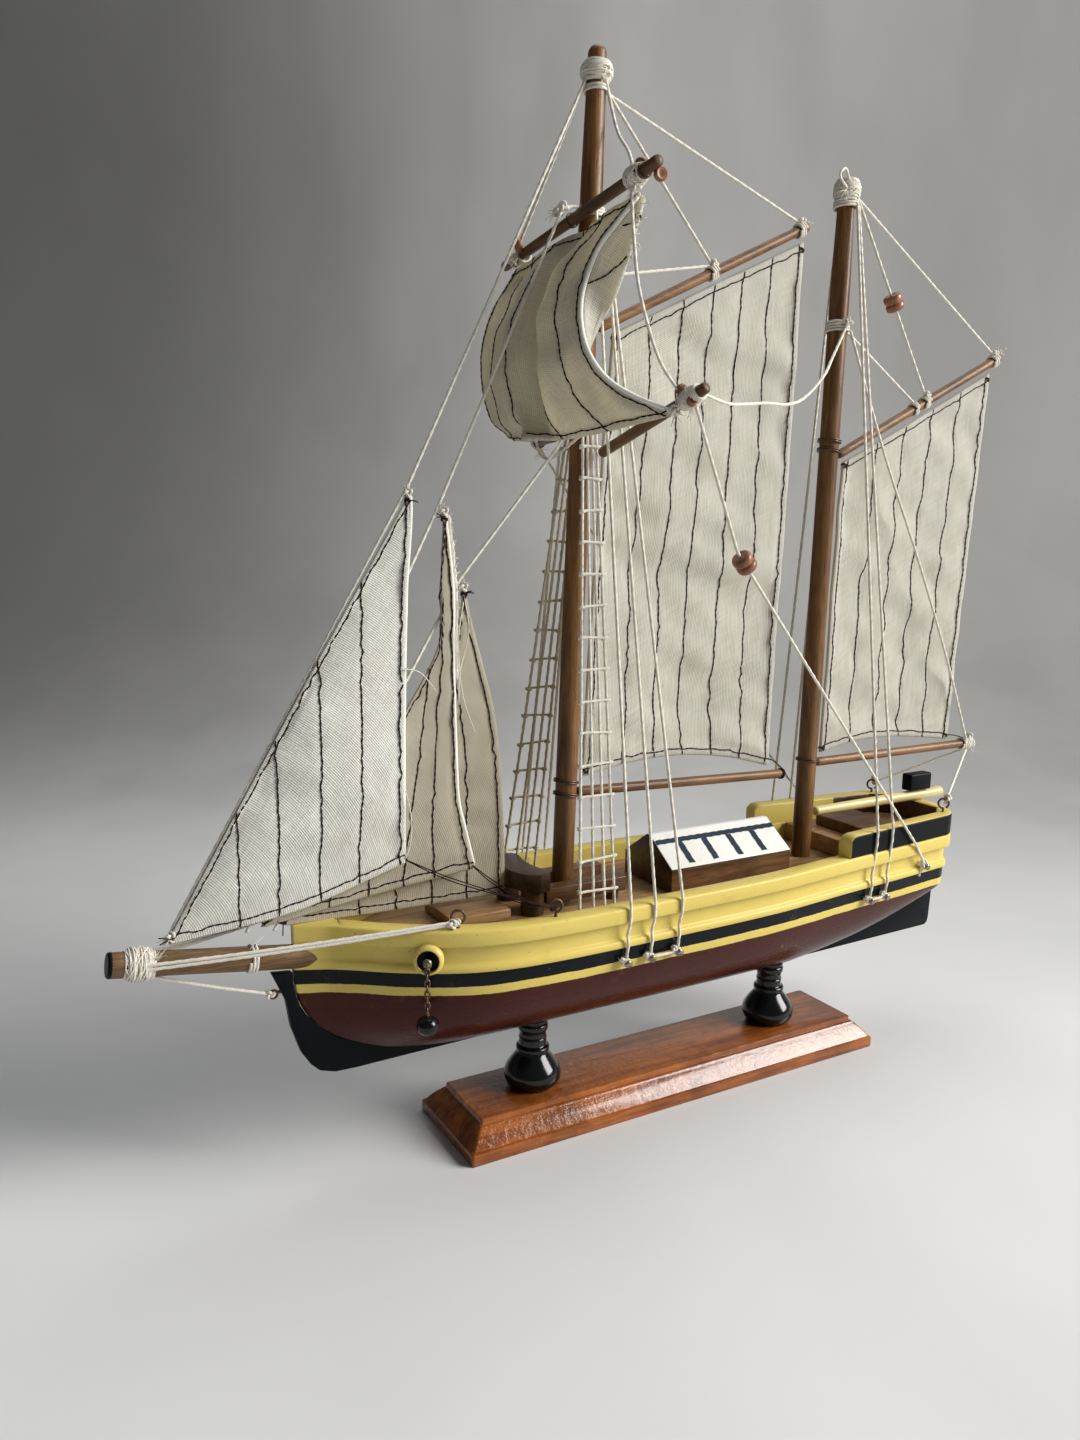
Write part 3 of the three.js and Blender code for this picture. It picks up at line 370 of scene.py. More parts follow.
def canvas(name, clean_and_lit, glow=0.4):
    """Unbleached plain-weave cotton; glow is the light let through, and UVs are in metres along the weave."""
    g = Graph(name, roughness=0.92, sheen=0.2, coords="UV")
    pitch = 0.00056
    warp = g.wave(math.pi / (10 * pitch), direction="X", distortion=0.6, detail=2)
    weft = g.wave(math.pi / (10 * pitch), direction="Y", distortion=0.6, detail=2)
    weave = g.math("MAXIMUM", warp, weft)
    hollow_shade = g.times(g.minus(1.0, warp), g.minus(1.0, weft))
    slub_u = g.noise(1500, 3, 0.6, g.stretched((1, 0.06, 1)))
    slub_v = g.noise(1500, 3, 0.6, g.stretched((0.06, 1, 1)))
    slub = g.plus(g.times(slub_u, 0.5), g.times(slub_v, 0.5))
    cloud = g.noise(45, 4, 0.6)
    tint = g.mix(g.step(cloud, 0.3, 0.7), (0.865, 0.875, 0.825), (0.93, 0.94, 0.905))
    tint = g.mix(g.step(slub, 0.38, 0.60), [0.72, 0.71, 0.63], tint)
    # Darker where neither warp nor weft rises: painted shade in the hollows of the weave.
    tint = g.mix(hollow_shade, tint, (0.36, 0.335, 0.27))
    stain = g.step(g.noise(110, 4, 0.65), 0.64, 0.8)
    tint = g.mix(g.times(stain, 0.3), tint, (0.55, 0.43, 0.24))
    lint = g.step(g.noise(2600, 2, 0.5, g.stretched((1, 0.2, 1))), 0.72, 0.78)
    tint = g.mix(g.times(lint, 0.25), tint, (0.25, 0.2, 0.15))
    # Below 1, clean_and_lit mixes in a yellow-brown tone: aged cotton on most sails, and painted shade on the
    # inner jib and staysail.
    tint = g.mix(clean_and_lit, g.mix(0.72, tint, (0.50, 0.40, 0.21)), tint)
    g.color(tint)
    g.bump(weave, 0.7, 0.0002)
    g.bump(slub, 0.6, 0.0003)
    through = g.node("BsdfTranslucent")
    g.put(through.inputs["Color"], g.mix(0.6, tint, (0.88, 0.79, 0.54)))
    blend = g.node("MixShader")
    blend.inputs["Fac"].default_value = glow
    out = g.tree.nodes["Material Output"]
    g.tree.links.new(g.bsdf.outputs[0], blend.inputs[1])
    g.tree.links.new(through.outputs[0], blend.inputs[2])
    g.tree.links.new(blend.outputs[0], out.inputs["Surface"])
    return g.mat


BILGE_LINE, STRIPE_LOW, STRIPE_TOP = 0.0546, 0.0571, 0.0612


def hull_paint():
    """Pale yellow topsides, black stripe, thin yellow line and maroon bottom, hand painted."""
    g = Graph("hull_paint", roughness=0.34, coat=0.05, shine=0.12)
    z = g.axis(2)
    wobble = g.times(g.minus(g.noise(60, 3), 0.5), 0.0009)
    edge = g.times(g.minus(g.noise(900, 3), 0.5), 0.00035)
    level = g.plus(z, g.plus(wobble, edge))
    tone = g.noise(55, 4)
    yellow = g.mix(tone, (0.60, 0.46, 0.10), (0.72, 0.58, 0.17))
    red = g.mix(g.noise(80, 3), (0.042, 0.008, 0.005), (0.068, 0.013, 0.008))
    black = g.mix(g.noise(200, 3), (0.002, 0.003, 0.004), (0.007, 0.008, 0.010))
    paint = g.mix(g.step(level, BILGE_LINE - 0.00006, BILGE_LINE + 0.00006), red, yellow)
    in_stripe = g.times(g.step(level, STRIPE_LOW - 0.00006, STRIPE_LOW + 0.00006),
                       g.minus(1.0, g.step(level, STRIPE_TOP - 0.00006, STRIPE_TOP + 0.00006)))
    paint = g.mix(in_stripe, paint, black)
    grime = g.step(g.noise(120, 6, 0.72), 0.58, 0.76)
    paint = g.mix(g.times(grime, 0.22), paint, (0.26, 0.19, 0.08))
    specks = g.step(g.noise(620, 2, 0.5), 0.73, 0.765)
    paint = g.mix(g.times(specks, 0.6), paint, (0.14, 0.09, 0.04))
    chips = g.step(g.noise(240, 3, 0.6), 0.735, 0.75)
    paint = g.mix(chips, paint, (0.62, 0.52, 0.34))
    g.color(paint)
    brush = g.noise(800, 3, 0.6, g.stretched((0.05, 1, 1)))
    g.rough(g.plus(g.times(brush, 0.25), 0.15))
    g.bump(g.plus(g.times(brush, 0.7), g.times(chips, -2.0)), 0.25, 0.00012)
    return g.mat


HULL = hull_paint()
YELLOW = enamel("yellow_paint", (0.67, 0.53, 0.14), 0.3, 0.22)
BLACK = enamel("black_paint", (0.002, 0.003, 0.004), 0.36, 0.0, speck=0.3, dirt=(0.06, 0.055, 0.04),
               shine=0.1)
GLOSS_BLACK = enamel("gloss_black", (0.004, 0.005, 0.005), 0.14, 0.45, brushed="Z", speck=0.25,
                     dirt=(0.05, 0.05, 0.04))
WHITE = enamel("white_paint", (0.80, 0.79, 0.74), 0.4, 0.2, speck=0.6)
NAVY = enamel("navy_paint", (0.022, 0.036, 0.055), 0.35, 0.2, speck=0.4)
STAND = wood("stand_varnish", (0.15, 0.032, 0.007), (0.42, 0.135, 0.028), "X", 0.2, 0.5, 0.5, 0.3, 0.5)
MAST = wood("mast_wood", (0.060, 0.024, 0.007), (0.235, 0.112, 0.034), "Z", 0.42, 0.12)
SPAR_X = wood("spar_wood", (0.085, 0.035, 0.010), (0.26, 0.125, 0.042), "X", 0.45, 0.12)
SPAR_Y = wood("yard_wood", (0.045, 0.020, 0.008), (0.15, 0.075, 0.028), "Y", 0.5, 0.08)
SPRIT = wood("sprit_wood", (0.060, 0.028, 0.011), (0.22, 0.125, 0.052), "X", 0.5, 0.08)
DECK = wood("deck_wood", (0.22, 0.115, 0.045), (0.46, 0.28, 0.13), "X", 0.5, 0.1)
OAK = wood("brown_wood", (0.045, 0.019, 0.007), (0.185, 0.088, 0.030), "X", 0.42, 0.12, 1.3, 0.3)
DARK_WOOD = wood("dark_wood", (0.020, 0.009, 0.005), (0.085, 0.040, 0.018), "X", 0.32, 0.3, 1.0, 0.2)
WELL = wood("well_wood", (0.050, 0.016, 0.007), (0.15, 0.050, 0.020), "X", 0.4, 0.2)
BEAD = wood("bead_wood", (0.12, 0.040, 0.016), (0.36, 0.155, 0.070), "Z", 0.35, 0.3, 0.5)
CORD = cotton_cord("cord_cotton", (0.84, 0.81, 0.73), (0.62, 0.57, 0.47))
# A darker tan copy of the cord for the starboard ratlines, on the side away from the light: painted shade.
SHADED_TAN_CORD = cotton_cord("ratline_cotton", (0.66, 0.58, 0.42), (0.46, 0.38, 0.25))
THREAD = cotton_cord("dark_thread", (0.040, 0.014, 0.012), (0.012, 0.004, 0.004), 0.0)
CANVAS = canvas("sail_canvas", 0.96)
JIB_CANVAS = canvas("jib_canvas", 0.93, 0.08)
TOPSAIL_CANVAS = canvas("topsail_canvas", 0.72)
HEM = cotton_cord("hem_cotton", (0.90, 0.89, 0.83), (0.78, 0.76, 0.67))
# Darker tan cloth for the inner jib and staysail: painted shade for the sails that hang behind the outer jib.
SHADED_TAN_CANVAS = canvas("aged_canvas", 0.36, 0.3)
WIRE = metal("brown_wire", (0.14, 0.095, 0.065), 0.4)
STEEL = metal("nail_steel", (0.36, 0.30, 0.23), 0.3, (0.07, 0.045, 0.03), 0.8)
BRASS = metal("ring_brass", (0.48, 0.34, 0.12), 0.35, (0.10, 0.06, 0.02), 0.5)

# ---------------------------------------------------------------- what the CAD nodes say


def node_points(node):
    """A CAD node's vertices in millimetres."""
    mesh = frame["nodes"][node].data
    verts = np.zeros(len(mesh.vertices) * 3)
    mesh.vertices.foreach_get("co", verts)
    return verts.reshape(-1, 3) / MM


def stick_axis(node):
    """The two ends of a round stick's axis."""
    p = node_points(node)
    centre = p.mean(0)
    _, _, axes = np.linalg.svd(p - centre)
    axis = axes[0] if axes[0][np.argmax(np.abs(axes[0]))] > 0 else -axes[0]
    s = (p - centre) @ axis
    return p[s < s.min() + 0.05].mean(0), p[s > s.max() - 0.05].mean(0)


def radius_of(node):
    """The largest radius of a round stick."""
    a, b = stick_axis(node)
    p = node_points(node)
    d = unit(b - a)
    off = (p - a) - ((p - a) @ d)[:, None] * d
    return float(np.linalg.norm(off, axis=1).max())


def middle(node):
    """The centre of a CAD node's box."""
    low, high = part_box(node)
    return np.array((low + high) / 2) / MM


def box(node):
    """A CAD node's lowest and highest corners."""
    low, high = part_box(node)
    return np.array(low) / MM, np.array(high) / MM


def refined(node, mats, body="model", bevel=0.35, segments=3, pick=None):
    """A CAD node's shape again, with eased edges and its own materials."""
    mesh = frame["nodes"][node].data.copy()
    mesh.name = node + "_finish"
    obj = bpy.data.objects.new(mesh.name, mesh)
    bpy.context.collection.objects.link(obj)
    mesh.materials.clear()
    for m in mats:
        mesh.materials.append(m)
    weld = obj.modifiers.new("weld", "WELD")
    weld.merge_threshold = 0.000002
    flat = obj.modifiers.new("flat", "DECIMATE")
    flat.decimate_type = "DISSOLVE"
    flat.angle_limit = math.radians(1.0)
    ease = obj.modifiers.new("ease", "BEVEL")
    ease.width = bevel * MM
    ease.segments = segments
    ease.limit_method = "ANGLE"
    ease.angle_limit = math.radians(28)
    bpy.context.view_layer.update()
    done = bpy.data.meshes.new_from_object(obj.evaluated_get(bpy.context.evaluated_depsgraph_get()))
    obj.modifiers.clear()
    obj.data = done
    done.polygons.foreach_set("use_smooth", [True] * len(done.polygons))
    done.set_sharp_from_angle(angle=math.radians(35))
    if pick:
        done.polygons.foreach_set("material_index", [
            pick(np.array(p.center) / MM, np.array(p.normal)) for p in done.polygons])
    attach(obj, body)
    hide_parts(node)
    return obj


# ---------------------------------------------------------------- cords and knots

CORD_R = 0.5
TWIST = {"lobes": 3, "pitch": 3.1, "depth": 0.26}


def cord_into(b, points, radius=CORD_R, step=0.6, sag=0.0):
    """Twisted cord along straight runs, or with a sag in each run."""
    points = [np.asarray(p, float) for p in points]
    if sag:
        bent = [points[0]]
        for a, c in zip(points, points[1:]):
            for t in np.linspace(0, 1, 13)[1:]:
                bent.append(a + (c - a) * t - np.array((0, 0, 4 * sag * t * (1 - t))))
        points = bent
    b.tube(resample(points, step), radius, 9, **TWIST)


def free_cord(name, points, smooth=10):
    """A slack line of its own, along a smooth curve through the points."""
    path = resample(smooth_path(points, smooth), 0.6)
    b = Build()
    b.tube(path, CORD_R, 9, **TWIST)
    line = b.piece(name, [CORD], "model", "cord")


def round_axis(centre, axis, angle, radius, rise):
    """Points at angles and radii round an axis, each raised along it."""
    axis = unit(axis)
    x = side_of(axis)
    y = np.cross(axis, x)
    return (np.asarray(centre, float) + rise[:, None] * axis
            + (np.cos(angle) * radius)[:, None] * x + (np.sin(angle) * radius)[:, None] * y)


def wraps_into(b, centre, axis, inner, turns, radius=CORD_R * 0.9, pitch=None):
    """Turns of cord round a spar, centred on a point."""
    pitch = pitch or radius * 1.9
    per_turn = 26
    t = np.arange(int(turns * per_turn) + 1) / per_turn
    r = inner + radius + RNG.normal(0, 0.12 * radius, int(turns) + 2)[t.astype(int)]
    path = round_axis(centre, axis, 2 * math.pi * t, r, (t - turns / 2) * pitch)
    b.tube(path, radius, 8, lobes=3, pitch=3.0, depth=0.22)


def yarn_into(b, centre, axis, inner, height, strands=26, swell=0.9, tilt=0.35, seed=1, r=0.21):
    """A whipping of many fine crossing turns of yarn, fuller in the middle."""
    rng = np.random.default_rng(seed)
    for _ in range(strands):
        at = rng.uniform(-0.5, 0.5)
        lean = rng.normal(0, tilt) * height * 0.5
        phase = rng.uniform(0, 6.28)
        layer = rng.uniform(0, 1)
        t = np.linspace(0, 2 * math.pi, 33)[:-1]
        h = np.clip(at * height + lean * np.sin(t + phase), -height / 2, height / 2)
        full = np.sqrt(np.maximum(0, 1 - (2 * h / (height * 1.05))**2))
        radius = inner + r * 0.8 + full * swell * (0.35 + 0.65 * layer) + 0.05 * np.sin(5 * t + phase)
        b.tube(round_axis(centre, axis, t, radius, h), r, 6, closed=True)


def knot_into(b, at, size=1.1, seed=0):
    """A small overhand knot."""
    rng = np.random.default_rng(seed)
    turn = rng.uniform(0, 6.28)
    t = np.linspace(0, 2 * math.pi, 44, endpoint=False)
    x = size * 0.62 * (np.sin(t) + 2 * np.sin(2 * t)) / 2.2
    y = size * 0.62 * (np.cos(t) - 2 * np.cos(2 * t)) / 2.2
    z = -size * 0.5 * np.sin(3 * t)
    c, s = math.cos(turn), math.sin(turn)
    path = np.stack((x * c - y * s, z, x * s + y * c), 1) + np.asarray(at, float)
    b.tube(path, CORD_R * 0.82, 7, closed=True)


def fray_into(b, at, towards, count=9, length=2.4, seed=1, spread=0.5):
    """Loose fibres at a cut end."""
    rng = np.random.default_rng(seed)
    towards = unit(towards)
    for _ in range(count):
        d = unit(towards + rng.normal(0, spread, 3))
        bend = rng.normal(0, 0.35, 3)
        n = rng.uniform(0.5, 1.0) * length
        path = [np.asarray(at) + d * n * t + bend * n * t * t for t in np.linspace(0, 1, 6)]
        b.tube(path, np.linspace(0.13, 0.06, 6), 5)


def loop_into(b, centre, axis, radius, wire=0.28, mat=0, turns=1.0, pitch=0.6):
    """Bent wire ring."""
    t = np.linspace(0, turns, int(30 * turns) + 1)
    b.tube(round_axis(centre, axis, 2 * math.pi * t, radius, (t - turns / 2) * pitch), wire, 7, mat)


FORE_FOOT, FORE_HEAD = stick_axis("foremast")
MIZZEN_FOOT, MIZZEN_HEAD = stick_axis("mizzen_mast")
SPRIT_TIP, SPRIT_HEEL = stick_axis("bowsprit")
MAST_R = radius_of("mizzen_mast")


def on_mast(foot, head, z, y=0.0, dx=0.0):
    """A point beside a mast's axis at height z."""
    t = (z - foot[2]) / (head[2] - foot[2])
    return np.array((foot[0] + t * (head[0] - foot[0]) + dx, y, z))


def fore(z, y=0.0, dx=0.0):
    return on_mast(FORE_FOOT, FORE_HEAD, z, y, dx)


def mizzen(z, y=0.0, dx=0.0):
    return on_mast(MIZZEN_FOOT, MIZZEN_HEAD, z, y, dx)


FORE_AXIS, MIZZEN_AXIS = unit(FORE_HEAD - FORE_FOOT), unit(MIZZEN_HEAD - MIZZEN_FOOT)

# ---------------------------------------------------------------- stand


def rounded_rectangle(half_x, half_y, r, z, per=6):
    """A ring of points at height z with rounded corners."""
    out = []
    for cx, cy, start in ((1, 1, 0), (-1, 1, 90), (-1, -1, 180), (1, -1, 270)):
        for k in range(per + 1):
            a = math.radians(start + 90 * k / per)
            out.append((cx * (half_x - r) + r * math.cos(a), cy * (half_y - r) + r * math.sin(a), z))
    return out


def make_stand():
    """The base; its profile is (inset, height)."""
    low, high = box("stand_base")
    hx, hy, top = high[0], high[1], high[2]
    profile = [(0.5, 0.0), (0.12, 0.12), (0, 0.4), (0, 3.2), (0.12, 3.5), (0.5, 3.75), (0.75, 3.85)]
    profile += [(0.75 + 3.9 * t, 3.85 + 4.45 * (t + 0.07 * math.sin(math.pi * t)))
                for t in np.linspace(0.08, 1, 9)]
    profile += [(4.75, 8.45), (5.1, 8.7), (5.5, 8.85), (5.6, 9.05), (5.6, top - 0.35), (5.72, top - 0.1),
                (6.0, top)]
    b = Build()
    b.rings([rounded_rectangle(hx - i, hy - i, 0.7, z) for i, z in profile])
    return b.piece("stand_base_finish", [STAND], "model", "varnished_stand", "stand_base", sharp=28)


make_stand()

# (radius, height) up a pedestal
PEDESTAL = [
    (0, 0), (6.6, 0), (7.2, 0.3), (8.0, 1.1), (8.55, 2.2), (8.72, 3.4), (8.6, 4.5), (8.15, 5.7),
    (7.45, 6.9), (6.6, 8.1), (5.75, 9.2), (5.1, 10.0), (4.75, 10.5), (4.7, 10.75), (4.98, 11.0),
    (5.08, 11.4), (5.08, 12.1), (4.9, 12.45), (4.5, 12.6), (4.25, 12.8), (4.15, 13.2), (4.18, 14.4),
    (4.1, 14.6), (4.12, 14.9), (4.3, 15.1), (4.1, 15.35), (4.08, 16.6), (4.2, 17.2), (4.5, 17.7),
    (4.66, 18.2), (4.66, 19.1), (4.5, 19.5), (4.3, 19.7), (4.5, 20.0), (4.6, 20.4), (4.55, 20.95),
    (0, 20.98),
]
for node in ("pedestal_fore", "pedestal_aft"):
    low, high = box(node)
    x = (low[0] + high[0]) / 2
    b = Build()
    b.lathe(PEDESTAL, (x, 0, low[2]), (x, 0, high[2]), 64)
    b.piece(node + "_finish", [GLOSS_BLACK], "model", "black_gloss", node, sharp=50)

# ---------------------------------------------------------------- hull

# (x, half breadth)
BREADTH = np.array([
    (-121.6, 1.3), (-118, 3.0), (-113.5, 5.4), (-110, 8.3), (-107, 10.8), (-104.5, 12.9), (-100, 16.3),
    (-93, 20.8), (-88, 23.6), (-80, 27), (-70, 29.4), (-57, 30.5), (-40, 30.8), (-16, 30.6), (4, 30.3),
    (22, 29.6), (35, 28.3), (54, 26), (78, 23.6), (93, 22), (104, 20.8)])
# (x, height of the keel)
KEEL = np.array([
    (-121.6, 58), (-121, 54), (-120, 51), (-118.3, 47.8), (-115, 44), (-110, 40.3), (-101, 36.6), (-91, 34),
    (-80, 32.5), (-66, 31.8), (-50, 31.7), (45, 31.7), (58, 33), (75, 36), (92, 41), (103, 46), (110, 51),
    (114, 56), (116, 60)])
RAIL_Z = box("hull")[1][2]
DECK_Z = 67.5
WALL = 6.0
ROUND_STERN = 104
STERN_LENGTH = 12
STERN_BREADTH = 20.8


def along(rows, x):
    """Smooth curve through rows of (x, value)."""
    x = min(max(x, rows[0][0]), rows[-1][0])
    i = int(np.clip(np.searchsorted(rows[:, 0], x, side="right") - 1, 0, len(rows) - 2))
    slope = lambda a, b: (rows[b][1] - rows[a][1]) / (rows[b][0] - rows[a][0])
    m0, m1 = slope(max(0, i - 1), i + 1), slope(i, min(len(rows) - 1, i + 2))
    h = rows[i + 1][0] - rows[i][0]
    t = (x - rows[i][0]) / h
    return ((1 + 2 * t) * (1 - t)**2 * rows[i][1] + t * (1 - t)**2 * h * m0
            + t * t * (3 - 2 * t) * rows[i + 1][1] + t * t * (t - 1) * h * m1)


def breadth(x):
    """Half breadth, with an elliptical stern."""
    if x <= ROUND_STERN:
        return along(BREADTH, x)
    return STERN_BREADTH * math.sqrt(max(0.0, 1 - ((x - ROUND_STERN) / STERN_LENGTH)**2))


def inner_breadth(x):
    """Half breadth of the well inside the bulwark."""
    if x > 97:
        return 15.2 * math.sqrt(max(0.0, 1 - ((x - 97) / 12.6)**2))
    slope = (breadth(x + 0.5) - breadth(x - 0.5))
    return max(0.0, breadth(x) - WALL * math.sqrt(1 + slope * slope))


# (inset from the half breadth, height) up the topside's rubbing strakes and rail
TOPSIDE = [
    (2.75, 54.9), (2.6, 56), (2.5, 57.1), (2.4, 58.5), (2.35, 60.0), (2.35, 60.9), (2.1, 61.15),
    (1.5, 61.3), (1.3, 61.6), (1.25, 62.3), (1.35, 62.9), (1.7, 63.35), (2.3, 63.7), (2.5, 64.1),
    (2.45, 65.5), (2.4, 67.2), (2.35, 68.2), (2.2, 68.6), (0.6, 68.85), (0.15, 69.05), (0.0, 69.4),
    (0.0, 71.0), (0.0, 72.5), (0.15, 72.95), (0.5, 73.25), (1.0, RAIL_Z),
]


def hull_half(x):
    """Half a cross section as (y, z), from the keel over the rail to the middle of the deck."""
    b = breadth(x)
    k = min(1.0, b / 12)
    keel = along(KEEL, x)
    flat = min(4.5, b / 4)
    low = max(54.6, keel + 1)
    bilge = b - 2.8 * k
    out = []
    for t in np.linspace(0, 1, 15):
        rise = 0.55 * t + 0.45 * t**5
        out.append((flat + (bilge - flat) * t, keel + (low - keel) * rise))
    for i, (inset, z) in enumerate(TOPSIDE):
        out.append((b - inset * k, max(z, low + (i + 1) * 0.04)))
    inner = inner_breadth(x)
    if inner > 0.4:
        out += [(inner + 0.7, RAIL_Z), (inner + 0.2, RAIL_Z - 0.2), (inner, RAIL_Z - 0.8),
                (inner, DECK_Z + 0.02), (inner - 0.01, DECK_Z), (inner * 0.5, DECK_Z), (0.0, DECK_Z)]
    else:
        out += [(max(b - 1.4 * k, 0.02) * f, RAIL_Z) for f in (0.86, 0.7, 0.5, 0.4, 0.25, 0.12, 0.0)]
    return out


def make_hull():
    """Cross sections skinned from stem to stern, closest together where the hull turns."""
    xs = list(np.concatenate((
        (-121.6, -121.3, -121, -120.5), np.arange(-120, -90, 0.75), np.arange(-90, 97, 2.5),
        np.arange(97, 112, 0.75),
        (112, 112.8, 113.5, 114.1, 114.6, 115, 115.3, 115.55, 115.75, 115.88, 115.95))))
    halves = [hull_half(x) for x in xs]
    n = len(halves[0])
    b = Build()
    verts, faces, mats = [], [], []
    for x, half in zip(xs, halves):
        verts += [(x, -y, z) for y, z in half]
        verts += [(x, y, z) for y, z in half[::-1]]
    ring = 2 * n
    for i in range(len(xs) - 1):
        for k in range(ring):
            q = (k + 1) % ring
            faces.append((i * ring + k, i * ring + q, (i + 1) * ring + q, (i + 1) * ring + k))
            a = k if k < n else ring - 1 - k
            c = q if q < n else ring - 1 - q
            wood_here = min(a, c) >= n - 3 and inner_breadth(xs[i]) > 0.4
            mats.append(1 if wood_here else 0)
    faces.append(list(range(ring))[::-1])
    faces.append([(len(xs) - 1) * ring + k for k in range(ring)])
    mats += [0, 0]
    b.add(verts, faces)
    b.mats = mats
    return b.piece("hull_finish", [HULL, DECK], "model", "hull_paint", "hull", sharp=38)


make_hull()
refined("stem_plate", [BLACK], bevel=0.35)
refined("deadwood_plate", [BLACK], bevel=0.35)


WELL_START = 88


def make_quarter():
    """The raised rail: a black panel below a yellow cap, and bare wood inside the well."""
    low, high = box("quarter_bulwark")
    xs = list(np.concatenate((np.arange(54.0, 100, 1.5), np.arange(100, 115.7, 0.4))))
    side = [(x, breadth(x) - 0.1) for x in xs]
    outer = side + [(x, -y) for x, y in side[::-1]]
    thickness = 5.3
    inner = []
    for i, p in enumerate(outer):
        a, c = np.array(outer[max(0, i - 1)]), np.array(outer[min(len(outer) - 1, i + 1)])
        d = unit(c - a)
        inner.append(np.array(p) + thickness * np.array((d[1], -d[0])))
    b = Build()
    rings = []
    for i, (o, q) in enumerate(zip(outer, inner)):
        o, q = np.array(o), np.array(q)
        if o[0] > 110.4:
            q = np.array((110.3, o[1] * 0.62))
        f = min(1.0, min(i, len(outer) - 1 - i) / 1.6)
        top = high[2] - 1.6 * (1 - math.sin(min(1.0, f) * math.pi / 2))
        d = unit(o - q)
        at = lambda frac, z, out=0.0: (*(q + (o - q) * frac + d * out), z)
        ring = [
            at(1, low[2] + 0.02, -0.2), at(1, low[2] + 0.5, -0.1), at(1, top - 2.3), at(1, top - 2.0),
            at(1, top - 1.7), at(1, top - 0.6), at(1, top - 0.2, -0.2), at(1, top, -0.7),
            at(0.5, top + 0.02), at(0, top, 0.7), at(0, top - 0.25, 0.2), at(0, top - 0.7),
            at(0, low[2] + 0.02),
        ]
        rings.append(ring)
    b.rings(rings)
    ring_n = len(rings[0])
    mats = []
    for i in range(len(rings) - 1):
        inside = 2 if outer[i][0] > WELL_START else 0
        mats += [1 if k < 6 else 0 if k < 10 else inside for k in range(ring_n)]
    mats += [0, 0]
    b.mats = mats
    return b.piece("quarter_bulwark_finish", [YELLOW, BLACK, WELL], "model", "hull_paint",
                   "quarter_bulwark", sharp=50)


make_quarter()

# ---------------------------------------------------------------- deck furniture

refined("foredeck_block", [DECK], bevel=0.5)
refined("windlass_beam", [DARK_WOOD], bevel=1.0, segments=5)
refined("fife_rail_port", [OAK], bevel=0.35)
refined("fife_rail_starboard", [OAK], bevel=0.35)
refined("poop_step", [DECK], bevel=0.4)
refined("poop_locker", [OAK], bevel=0.5)
refined("rudder_head", [BLACK], bevel=0.6)


def make_deckhouse():
    """The house, with dark bars painted along and down its roof."""
    low, high = box("deckhouse")
    refined("deckhouse", [WHITE, OAK, DARK_WOOD], bevel=0.3,
            pick=lambda p, n: 0 if n[2] > 0.3 else (2 if abs(n[0]) > 0.5 else 1))
    half, ridge, eave = high[1], high[2], 75.2
    slope = (ridge - eave) / (half - 0.8)
    b = Build()

    def on_roof(x, y, lift):
        z = ridge - (abs(y) - 0.8) * slope
        n = unit((0, math.copysign(slope, y), 1))
        return np.array((x, y, z)) + n * lift

    def bar(x0, x1, y0, y1):
        nx, ny = max(2, int((x1 - x0) / 1.0)), max(2, int(abs(y1 - y0) / 0.8))
        wob = lambda k: 0.10 * math.sin(k * 2.1 + x0 * 3 + y0)
        top = [[on_roof(x0 + (x1 - x0) * i / nx + wob(j), y0 + (y1 - y0) * j / ny + wob(i + 3), 0.09)
                for j in range(ny + 1)] for i in range(nx + 1)]
        flat = [p for row in top for p in row]
        w = ny + 1
        faces = [(i * w + j, (i + 1) * w + j, (i + 1) * w + j + 1, i * w + j + 1)
                 for i in range(nx) for j in range(ny)]
        if y0 > 0:
            faces = [f[::-1] for f in faces]
        b.add(flat, faces)

    for side in SIDE:
        lo, hi = sorted((side * 3.0, side * 4.5))
        bar(low[0] + 0.2, high[0] - 0.2, lo, hi)
        for x in (-0.1, 9.4, 19.2, 28.9):
            lo, hi = sorted((side * 4.5, side * 11.6))
            bar(x, x + 2.2, lo, hi)
    b.piece("roof_bars", [NAVY], "model", "house_paint")


make_deckhouse()


def make_tiller():
    """Painted stick, thin end forward."""
    a, c = stick_axis("tiller")
    if a[0] > c[0]:
        a, c = c, a
    length = np.linalg.norm(c - a)
    b = Build()
    b.lathe([(0, 0), (1.1, 0.05), (1.5, 0.4), (1.62, 1.2), (1.72, length * 0.4), (1.9, length - 1.5),
             (1.85, length - 0.6), (1.5, length - 0.1), (0, length)], a, c, 32)
    paint = enamel("tiller_paint", (0.64, 0.53, 0.24), 0.34, 0.3)
    b.piece("tiller_finish", [paint], "model", "tiller_paint", "tiller", sharp=50)


make_tiller()

# ---------------------------------------------------------------- bow fittings


